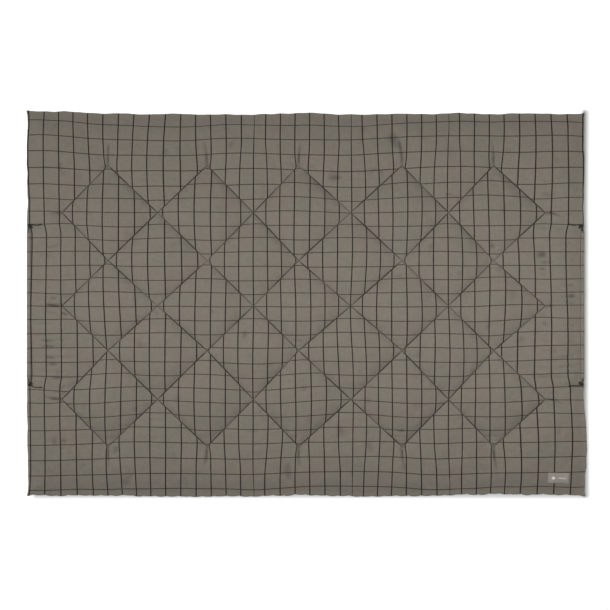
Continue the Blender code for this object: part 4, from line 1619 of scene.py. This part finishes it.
@dataclass
class Drawcords:
    """The cord in each tunnel, its two tails and their knots."""

    hem: Hem
    palette: Palette
    face: Surface
    knot: float = 6.4 * MM
    strand: float = 1.25 * MM

    def held(self, side: Side) -> None:
        """The cord from lock to lock, through its tunnel."""
        hem = self.hem
        halves = []
        for end in End:
            level = hem.lock(side, end).z - hem.cord_height()
            points = [hem.near_mouth(side, end, (0, -4 * hem.cord, 0))]
            for inward, outward, up in CORD_RISE:
                way = (inward * MM, outward * MM, level * up / CORD_RISE[-1][2])
                points.append(hem.near_mouth(side, end, way))
            points.append(hem.lock(side, end) - hem.run(side, end) * (hem.travel / 3 + 0.15 * MM))
            halves.append(spline(points, 1.2 * MM))
        inside = spline([halves[0][0], halves[1][0]], 6 * MM)
        route = halves[0][:0:-1] + inside + halves[1][1:]
        name = side.name.lower()
        piece = swept(f"held_cord_{name}", route, hem.cord / 2)
        self.palette.dress(piece, Finish.CORD, "blanket", f"drawcord_{name}")

    def tail(self, side: Side, end: End) -> None:
        """A free tail, which lies on the face, and the knot at its end."""
        hem = self.hem
        corner = f"{side.name}_{end.name}".lower()
        run = hem.run(side, end)
        mouth = hem.lock(side, end) + run * hem.barrel / 2
        inside = hem.lock(side, end) - run * (hem.travel / 3 - 0.15 * MM)
        points = [inside, mouth - run * hem.cord, mouth]
        for n, (inward, outward) in enumerate(TAILS[side, end]):
            x = mouth.x - side.value * inward * MM
            y = mouth.y + end.value * outward * MM
            height = self.face.top(Vector((x, y, 0))).z + hem.cord / 2 + 0.3 * MM
            if n < 2:
                height = max(height, mouth.z - (n + 1) * 0.6 * MM)
            if n == len(TAILS[side, end]) - 1:
                height += 1.4 * MM
            points.append(Vector((x, y, height)))
        route = spline(points, 1.0 * MM)
        piece = swept(f"loose_tail_{corner}", route, hem.cord / 2)
        self.palette.dress(piece, Finish.CORD, "blanket", f"cord_tail_{corner}")
        knot = self.make_knot(corner, route[-1], (route[-1] - route[-2]).normalized())
        length = sum((b - a).length for a, b in zip(route, route[1:]))
        LOG.info("tail %s: %.1f mm", corner, length / MM)

    def make_knot(self, corner: str, start: Vector, heading: Vector) -> bpy.types.Object:
        """An overhand knot, pulled tight, with a short cut end behind it.

        Args:
            corner: Which tail it ends.
            start: The tail's last point.
            heading: The way in which the tail runs there.

        Returns:
            The knot.
        """
        middle = start + heading * (self.knot / 2 - 0.2 * MM)
        turn = heading.to_track_quat("X", "Z")
        size = (self.knot / 2 - self.strand) / 3
        route = []
        for k in range(64):
            t = math.tau * k / 64
            spot = Vector((
                size * (math.sin(t) + 2 * math.sin(2 * t)),
                size * (math.cos(t) - 2 * math.cos(2 * t)),
                -size * 1.9 * math.sin(3 * t),
            ))
            spot.rotate(turn)
            route.append(middle + spot)
        loops = swept(f"knot_{corner}", route, self.strand, 10, closed=True)
        stub = [middle + heading * (self.knot / 2 - 1.4 * MM) * 1.0]
        stub.append(stub[0] + heading * 4.2 * MM)
        cut_end = swept("cut_end", spline(stub, 0.8 * MM), self.hem.cord / 2)
        core = swept("core", spline([start - heading * 1.0 * MM, stub[0]], 0.8 * MM), 1.3 * MM)
        piece = joined([loops, cut_end, core])
        self.palette.dress(piece, Finish.CORD, "blanket", f"cord_knot_{corner}")
        return piece

    def build(self) -> None:
        """Makes every cord."""
        for side in Side:
            self.held(side)
            for end in End:
                self.tail(side, end)


@dataclass
class Tunnels:
    """The gathered cord tunnels of the face's cloth, with their bar tacks."""

    hem: Hem
    palette: Palette
    cut: ClothCut
    face: Surface
    height: float = 5.3 * MM
    gather: float = 11.0 * MM
    ring_step: float = 1.6 * MM
    around: int = 22

    def section(self, share: float, width: float, height: float) -> tuple[float, float]:
        """A point of the tunnel's outline: flat below, rounded above.

        Args:
            share: How far round, from 0 to 1.
            width: The tunnel's width there.
            height: Its height there.

        Returns:
            X from its middle, and the height above its floor.
        """
        angle = math.tau * share
        across, up = math.cos(angle), math.sin(angle)
        power = 0.55 if up > 0 else 0.4
        x = math.copysign(abs(across) ** 0.6, across) * width / 2
        z = height / 2 + math.copysign(abs(up) ** power, up) * height / 2
        return x, z

    def make(self, side: Side) -> None:
        """One tunnel."""
        hem = self.hem
        low, high = -hem.tunnel_down, hem.tunnel_up
        middle = side.value * hem.tunnel_middle()
        count = round((high - low) / self.ring_step)
        ys = [low + (high - low) * n / count for n in range(count + 1)]
        # Each ring: y, how much the tube is drawn in, and whether it is its inner face.
        rings = [(low + 9 * MM, 1.0), (low + 1.0 * MM, 1.0)]
        rings += [(y, 0.0) for y in ys]
        rings += [(high - 1.0 * MM, 1.0), (high - 9 * MM, 1.0)]
        where = np.array([y for y, _ in rings])
        phase = where / self.gather * math.tau
        phase = phase + 1.1 * random_waves(where, np.zeros_like(where), 61 + side.value, 0.09)
        wave = np.sin(phase) * 0.6 + 0.4 * random_waves(where, 0 * where, 63 + side.value, 0.016)
        points, cloth = [], []
        for (y, inner), pucker in zip(rings, wave):
            pucker *= 1 - inner
            width = hem.tunnel_width + (0.5 * pucker - 0.2) * MM - 2 * hem.wall * inner
            height = self.height + 0.75 * MM * pucker - 2 * hem.wall * inner
            for k in range(self.around):
                x, z = self.section(k / self.around, width, height)
                crown = 1 - abs(x) / width
                lean = 0.5 * MM * math.sin(k * 1.7 + y / MM * 0.35) * (1 - inner) * crown
                points.append((middle + x, y + lean, hem.edge_height - 0.2 * MM + z + hem.wall * inner))
                cloth.append((x, y))
        faces = []
        for n in range(len(rings) - 1):
            one, other = n * self.around, (n + 1) * self.around
            for k in range(self.around):
                after = (k + 1) % self.around
                faces.append((one + k, one + after, other + after, other + k))
        faces.append(tuple(range(self.around)))
        end = (len(rings) - 1) * self.around
        faces.append(tuple(end + k for k in range(self.around)))
        name = side.name.lower()
        piece = new_piece(f"gathered_tunnel_{name}", points, faces)
        outwards(piece)
        flat = np.array(cloth)
        edge = np.full(len(flat), middle)
        lattice = self.cut.lattice
        columns = np.full(len(flat), -1.0 if side is Side.LEFT else lattice.columns + 1.0)
        rows = np.interp(-flat[:, 1], -lattice.ys(), np.arange(-1, lattice.rows + 2))
        fabric = self.cut.pattern(columns, rows, edge, flat[:, 1])
        fabric[:, 0] = -22 * MM + flat[:, 0]
        carry(piece.data, "fabric", fabric)
        carry(piece.data, "quilting", np.zeros((len(flat), 3)))
        self.palette.dress(piece, Finish.CLOTH, "blanket", f"drawcord_tunnel_{name}")

    def tack(self, side: Side, end: End) -> None:
        """The row of tight stitches across a tunnel's end."""
        hem = self.hem
        y = hem.tunnel_end(end) - end.value * 4 * MM
        top = hem.edge_height - 0.2 * MM + self.height + 0.45 * MM
        stitches = Stitches()
        count = 16
        for n in range(count):
            x = side.value * hem.tunnel_middle() + (n / (count - 1) - 0.5) * 8 * MM
            lean = Vector((0.35, 1 if n % 2 else -1, 0))
            stitches.add(Vector((x, y, top - 0.25 * MM)), lean, Vector((0, 0, 1)), 2.3 * MM, 0.55 * MM)
        for row in (-0.5, 0.5):
            middle = Vector((side.value * hem.tunnel_middle(), y + row * MM, top - 0.45 * MM))
            stitches.add(middle, Vector((1, 0, 0)), Vector((0, 0, 1)), 8.4 * MM, 0.6 * MM)
        corner = f"{side.name}_{end.name}".lower()
        piece = stitches.piece(f"bar_tack_{corner}")
        self.palette.dress(piece, Finish.THREAD, "blanket", f"tunnel_tack_{corner}")

    def build(self) -> None:
        """Makes both tunnels."""
        for side in Side:
            self.make(side)
            for end in End:
                self.tack(side, end)


@dataclass
class CordLocks:
    """The four cord locks: a barrel across the cord and a sprung button in it."""

    hem: Hem
    palette: Palette
    button: float = 7.4 * MM
    closed_end: float = 9.5 * MM
    mouth: float = 4.0 * MM
    floor: float = 1.0 * MM
    head: float = 3.6 * MM
    inner_end: float = 3.6 * MM
    press: float = 2.0 * MM

    def slot(self, low: float, high: float, wide: float) -> bpy.types.Object:
        """A cutter along Y whose section runs from low to high along X with round ends."""
        bpy.ops.object.select_all(action="DESELECT")
        bpy.ops.mesh.primitive_cylinder_add(
            vertices=32, radius=wide / 2, depth=30 * MM, rotation=(math.pi / 2, 0, 0)
        )
        cutter = bpy.context.active_object
        bpy.ops.object.transform_apply(location=True, rotation=True, scale=True)
        for vert in cutter.data.vertices:
            vert.co.x += high - wide / 2 if vert.co.x > 0 else low + wide / 2
        return cutter

    def finish(self, piece: bpy.types.Object) -> None:
        """Breaks every sharp edge and shades the piece."""
        only(piece)
        bevel = piece.modifiers.new("edges", "BEVEL")
        bevel.width = 0.15 * MM
        bevel.segments = 2
        bevel.limit_method = "ANGLE"
        bevel.angle_limit = math.radians(40)
        bpy.ops.object.modifier_apply(modifier=bevel.name)
        bpy.ops.object.shade_smooth_by_angle(angle=math.radians(35))

    def make_barrel(self) -> bpy.types.Object:
        """The barrel, about its cord hole."""
        hem = self.hem
        hole = hem.cord + 2 * hem.clearance
        barrel = bar(hem.barrel / 2, -self.mouth, self.closed_end, 1.3 * MM)
        bore = self.button / 2 + hem.clearance
        carve(barrel, bar(bore, -3 * self.mouth, self.closed_end - self.floor))
        carve(barrel, self.slot(-hole / 2, hole / 2, hole))
        for place in (5.4 * MM, 6.9 * MM):
            ring = bar(hem.barrel, place - 0.35 * MM, place + 0.35 * MM)
            carve(ring, bar(hem.barrel / 2 - 0.3 * MM, place - 1 * MM, place + 1 * MM))
            carve(barrel, ring)
        self.finish(barrel)
        return barrel

    def make_button(self) -> bpy.types.Object:
        """The button, about its cord hole."""
        hem = self.hem
        hole = hem.cord + 2 * hem.clearance
        start = -self.mouth - self.head
        button = bar(self.button / 2, start, self.inner_end, 0.9 * MM)
        carve(button, self.slot(-self.press - hole / 2, hole / 2, hole))
        carve(button, bar(self.button / 2 - 1.5 * MM, start - 1 * MM, start + 0.35 * MM))
        self.finish(button)
        return button

    def build(self) -> None:
        """Makes the locks and puts one at each corner."""
        barrel, button = self.make_barrel(), self.make_button()
        for side in Side:
            for end in End:
                corner = f"{side.name}_{end.name}".lower()
                axis = math.atan2(
                    end.value * math.sin(self.hem.turn), side.value * math.cos(self.hem.turn)
                )
                spot = Matrix.Translation(self.hem.lock(side, end)) @ Matrix.Rotation(axis, 4, "Z")
                for model, kind, body in ((barrel, "barrel", "lock"), (button, "button", "button")):
                    piece = model.copy()
                    piece.data = model.data.copy()
                    piece.name = f"cord_lock_{kind}_{corner}"
                    bpy.context.scene.collection.objects.link(piece)
                    piece.data.transform(spot)
                    self.palette.dress(
                        piece, Finish.PLASTIC, f"{body}_{corner}", f"lock_{kind}_{corner}"
                    )
                self.palette.paint(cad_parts[f"lock_spring_{corner}"], Finish.SPRING)
        for model in (barrel, button):
            bpy.data.objects.remove(model, do_unlink=True)


@dataclass
class Label:
    """The woven label near the lower right corner, sewn down all round."""

    lattice: Lattice
    palette: Palette
    face: Surface
    size: tuple[float, float] = (76 * MM, 38 * MM)
    from_right: float = 94 * MM
    from_bottom: float = 66 * MM
    turn: float = math.radians(-1.5)
    steps: tuple[int, int] = (38, 20)
    hem: float = 2.2 * MM

    def place(self, u: float, v: float) -> Vector:
        """A place on the label, in metres from its middle, as X and Y on the blanket."""
        spot = Vector((u, v, 0))
        spot.rotate(Matrix.Rotation(self.turn, 3, "Z"))
        spot.x += self.lattice.half_length - self.from_right
        spot.y += self.from_bottom - self.lattice.half_width
        return spot

    def make(self) -> bpy.types.Object:
        """The patch itself, closed, with softly rounded corners."""
        across, up = self.steps
        half_u, half_v = self.size[0] / 2, self.size[1] / 2
        us, vs = np.linspace(-1, 1, across + 1), np.linspace(-1, 1, up + 1)
        ground = np.zeros((across + 1, up + 1))
        spots = {}
        for a, u in enumerate(us):
            for b, v in enumerate(vs):
                pulled = 1 - 0.012 * (abs(u) ** 12 + abs(v) ** 12) * (abs(u * v) ** 8)
                waver = 0.15 * MM * math.sin(9 * v + 5 * u)
                spots[a, b] = (u * half_u * pulled + waver * abs(u) ** 4, v * half_v * pulled)
                ground[a, b] = self.face.top(self.place(*spots[a, b])).z
        soft = ground.copy()
        for _ in range(6):
            soft[1:-1, 1:-1] = (
                soft[:-2, 1:-1] + soft[2:, 1:-1] + soft[1:-1, :-2] + soft[1:-1, 2:]
            ) / 4
        rise = np.minimum(1, (1 - np.maximum(np.abs(us)[:, None], np.abs(vs)[None, :])) * 12)
        top = np.maximum(soft, ground + 0.2 * MM) + 0.25 * MM + 0.35 * MM * rise
        points, ribbon, faces = [], [], []
        for layer in (top, ground - 0.3 * MM):
            for a in range(across + 1):
                for b in range(up + 1):
                    spot = self.place(*spots[a, b])
                    points.append((spot.x, spot.y, layer[a, b]))
                    ribbon.append(spots[a, b])
        rows = up + 1
        under = (across + 1) * rows
        for a in range(across):
            for b in range(up):
                ring = (a * rows + b, (a + 1) * rows + b, (a + 1) * rows + b + 1, a * rows + b + 1)
                faces.append(ring)
                faces.append(tuple(under + n for n in reversed(ring)))
        rim = [a * rows for a in range(across)] + [across * rows + b for b in range(up)]
        rim += [a * rows + up for a in range(across, 0, -1)] + [b for b in range(up, 0, -1)]
        for one, other in zip(rim, rim[1:] + rim[:1]):
            faces.append((one, under + one, under + other, other))
        piece = new_piece("sewn_label", points, faces)
        carry(piece.data, "ribbon", np.array(ribbon))
        outwards(piece)
        piece.data.shade_smooth()
        return piece

    def build(self) -> None:
        """Makes the label and its stitches."""
        patch = self.make()
        self.palette.dress(patch, Finish.LABEL, "blanket", "woven_label")
        surface = Surface(patch)
        stitches = Stitches()
        half_u, half_v = self.size[0] / 2 - self.hem, self.size[1] / 2 - self.hem
        corners = [(-half_u, -half_v), (half_u, -half_v), (half_u, half_v), (-half_u, half_v)]
        for (u0, v0), (u1, v1) in zip(corners, corners[1:] + corners[:1]):
            count = round(math.hypot(u1 - u0, v1 - v0) / (2.6 * MM))
            run = self.place(u1, v1) - self.place(u0, v0)
            for k in range(count):
                share = (k + 0.5) / count
                spot = self.place(u0 + (u1 - u0) * share, v0 + (v1 - v0) * share)
                stitches.add(surface.top(spot), run, Vector((0, 0, 1)), 2.0 * MM, 0.45 * MM)
        thread = stitches.piece("label_stitches")
        self.palette.dress(thread, Finish.THREAD, "blanket", "label_stitching")


@dataclass
class Studio:
    """A white floor, soft light and the camera."""

    view_width: float = 2.190
    lens: float = 85.0
    sensor: float = 36.0
    daylight: float = 0.30
    glow: float = 0.30
    floor_half: float = 12.0
    floor_below: float = 0.5 * MM

    def make(self) -> None:
        """Builds the studio."""
        self.camera()
        self.floor()
        self.light("overhead_left", (-1.22, 0.0, 1.4), (2.5, 0.7), 19.9, (-1.22, 0.0, 0.0))
        self.light("overhead_right", (1.22, 0.02, 1.4), (2.5, 0.7), 22.2, (1.22, 0.02, 0.0))
        self.light("side", (-9.0, 3.2, 4.0), (2.6, 2.6), 230.0)
        world = bpy.data.worlds.new("studio")
        world.use_nodes = True
        world.node_tree.nodes["Background"].inputs["Color"].default_value = tint(1.0, 1.0, 1.0)
        world.node_tree.nodes["Background"].inputs["Strength"].default_value = self.daylight
        bpy.context.scene.world = world
        bpy.context.scene.view_settings.view_transform = "Standard"

    def camera(self) -> None:
        """A camera that looks straight down."""
        data = bpy.data.cameras.new("camera")
        data.lens = self.lens
        data.sensor_width = self.sensor
        item = bpy.data.objects.new("camera", data)
        item.location = (-1.8 * MM, -3.6 * MM, self.view_width * self.lens / self.sensor + 5 * MM)
        bpy.context.scene.collection.objects.link(item)
        bpy.context.scene.camera = item

    def floor(self) -> None:
        """A wide white floor."""
        half, turns = self.floor_half, ((-1, -1), (1, -1), (1, 1), (-1, 1))
        corners = [(half * across, half * along, -self.floor_below) for across, along in turns]
        piece = new_piece("floor", corners, [(0, 1, 2, 3)])
        graph = Graph("floor", Roughness=0.9)
        x, y, _ = graph.parts(graph.place())
        # White all round, but for the strips beside the right and lower edges, painted as shadow.
        right = graph.ramp(x, 0.990, 1.0, 0.0, 1.0) * graph.ramp(x, 1.004, 1.030, 1.0, 0.0)
        right = right * graph.ramp(abs(y), 0.690, 0.705, 1.0, 0.0)
        below = graph.ramp(y, -0.708, -0.690, 0.0, 1.0) * graph.ramp(y, -0.6, -0.5, 1.0, 0.0)
        below = below * graph.ramp(x, 1.014, 1.026, 1.0, 0.0)
        strip = right.math("MAXIMUM", below * graph.ramp(x, -0.99, -0.97) * 0.7)
        graph.feed("Base Color", graph.blend(strip, tint(0.95, 0.95, 0.95), tint(0.35, 0.35, 0.34)))
        graph.feed("Emission Color", graph.blend(strip, tint(1, 1, 1), tint(0, 0, 0)))
        graph.shader.inputs["Emission Strength"].default_value = self.glow
        piece.data.materials.append(graph.material)

    def light(
        self, name: str, place: tuple, size: tuple, power: float, aim: tuple = (0.0, 0.0, 0.0)
    ) -> None:
        """A soft light aimed at the blanket.

        Args:
            name: Its name.
            place: Where it hangs.
            size: Its length along X and its width.
            power: Its power in watts.
            aim: The place that it points at.
        """
        data = bpy.data.lights.new(name, "AREA")
        data.shape = "RECTANGLE"
        data.size, data.size_y = size
        data.energy = power
        item = bpy.data.objects.new(name, data)
        item.location = place
        item.visible_camera = False
        item.rotation_euler = (Vector(place) - Vector(aim)).to_track_quat("Z", "Y").to_euler()
        bpy.context.scene.collection.objects.link(item)


def main() -> None:
    """Builds the blanket piece by piece."""
    logging.basicConfig(level=logging.INFO, format="%(name)s: %(message)s")
    Studio().make()
    palette = Palette()
    low, high = CAD_BOX
    lattice = Lattice(half_length=(high[0] - low[0]) / 2, half_width=(high[1] - low[1]) / 2)
    body = QuiltedBody(lattice, ClothCut(lattice), palette)
    face = Surface(body.build())
    hem = Hem(lattice.half_length)
    Drawcords(hem, palette, face).build()
    Tunnels(hem, palette, body.cut, face).build()
    CordLocks(hem, palette).build()
    Label(lattice, palette, face).build()


if __name__ == "__main__":
    main()
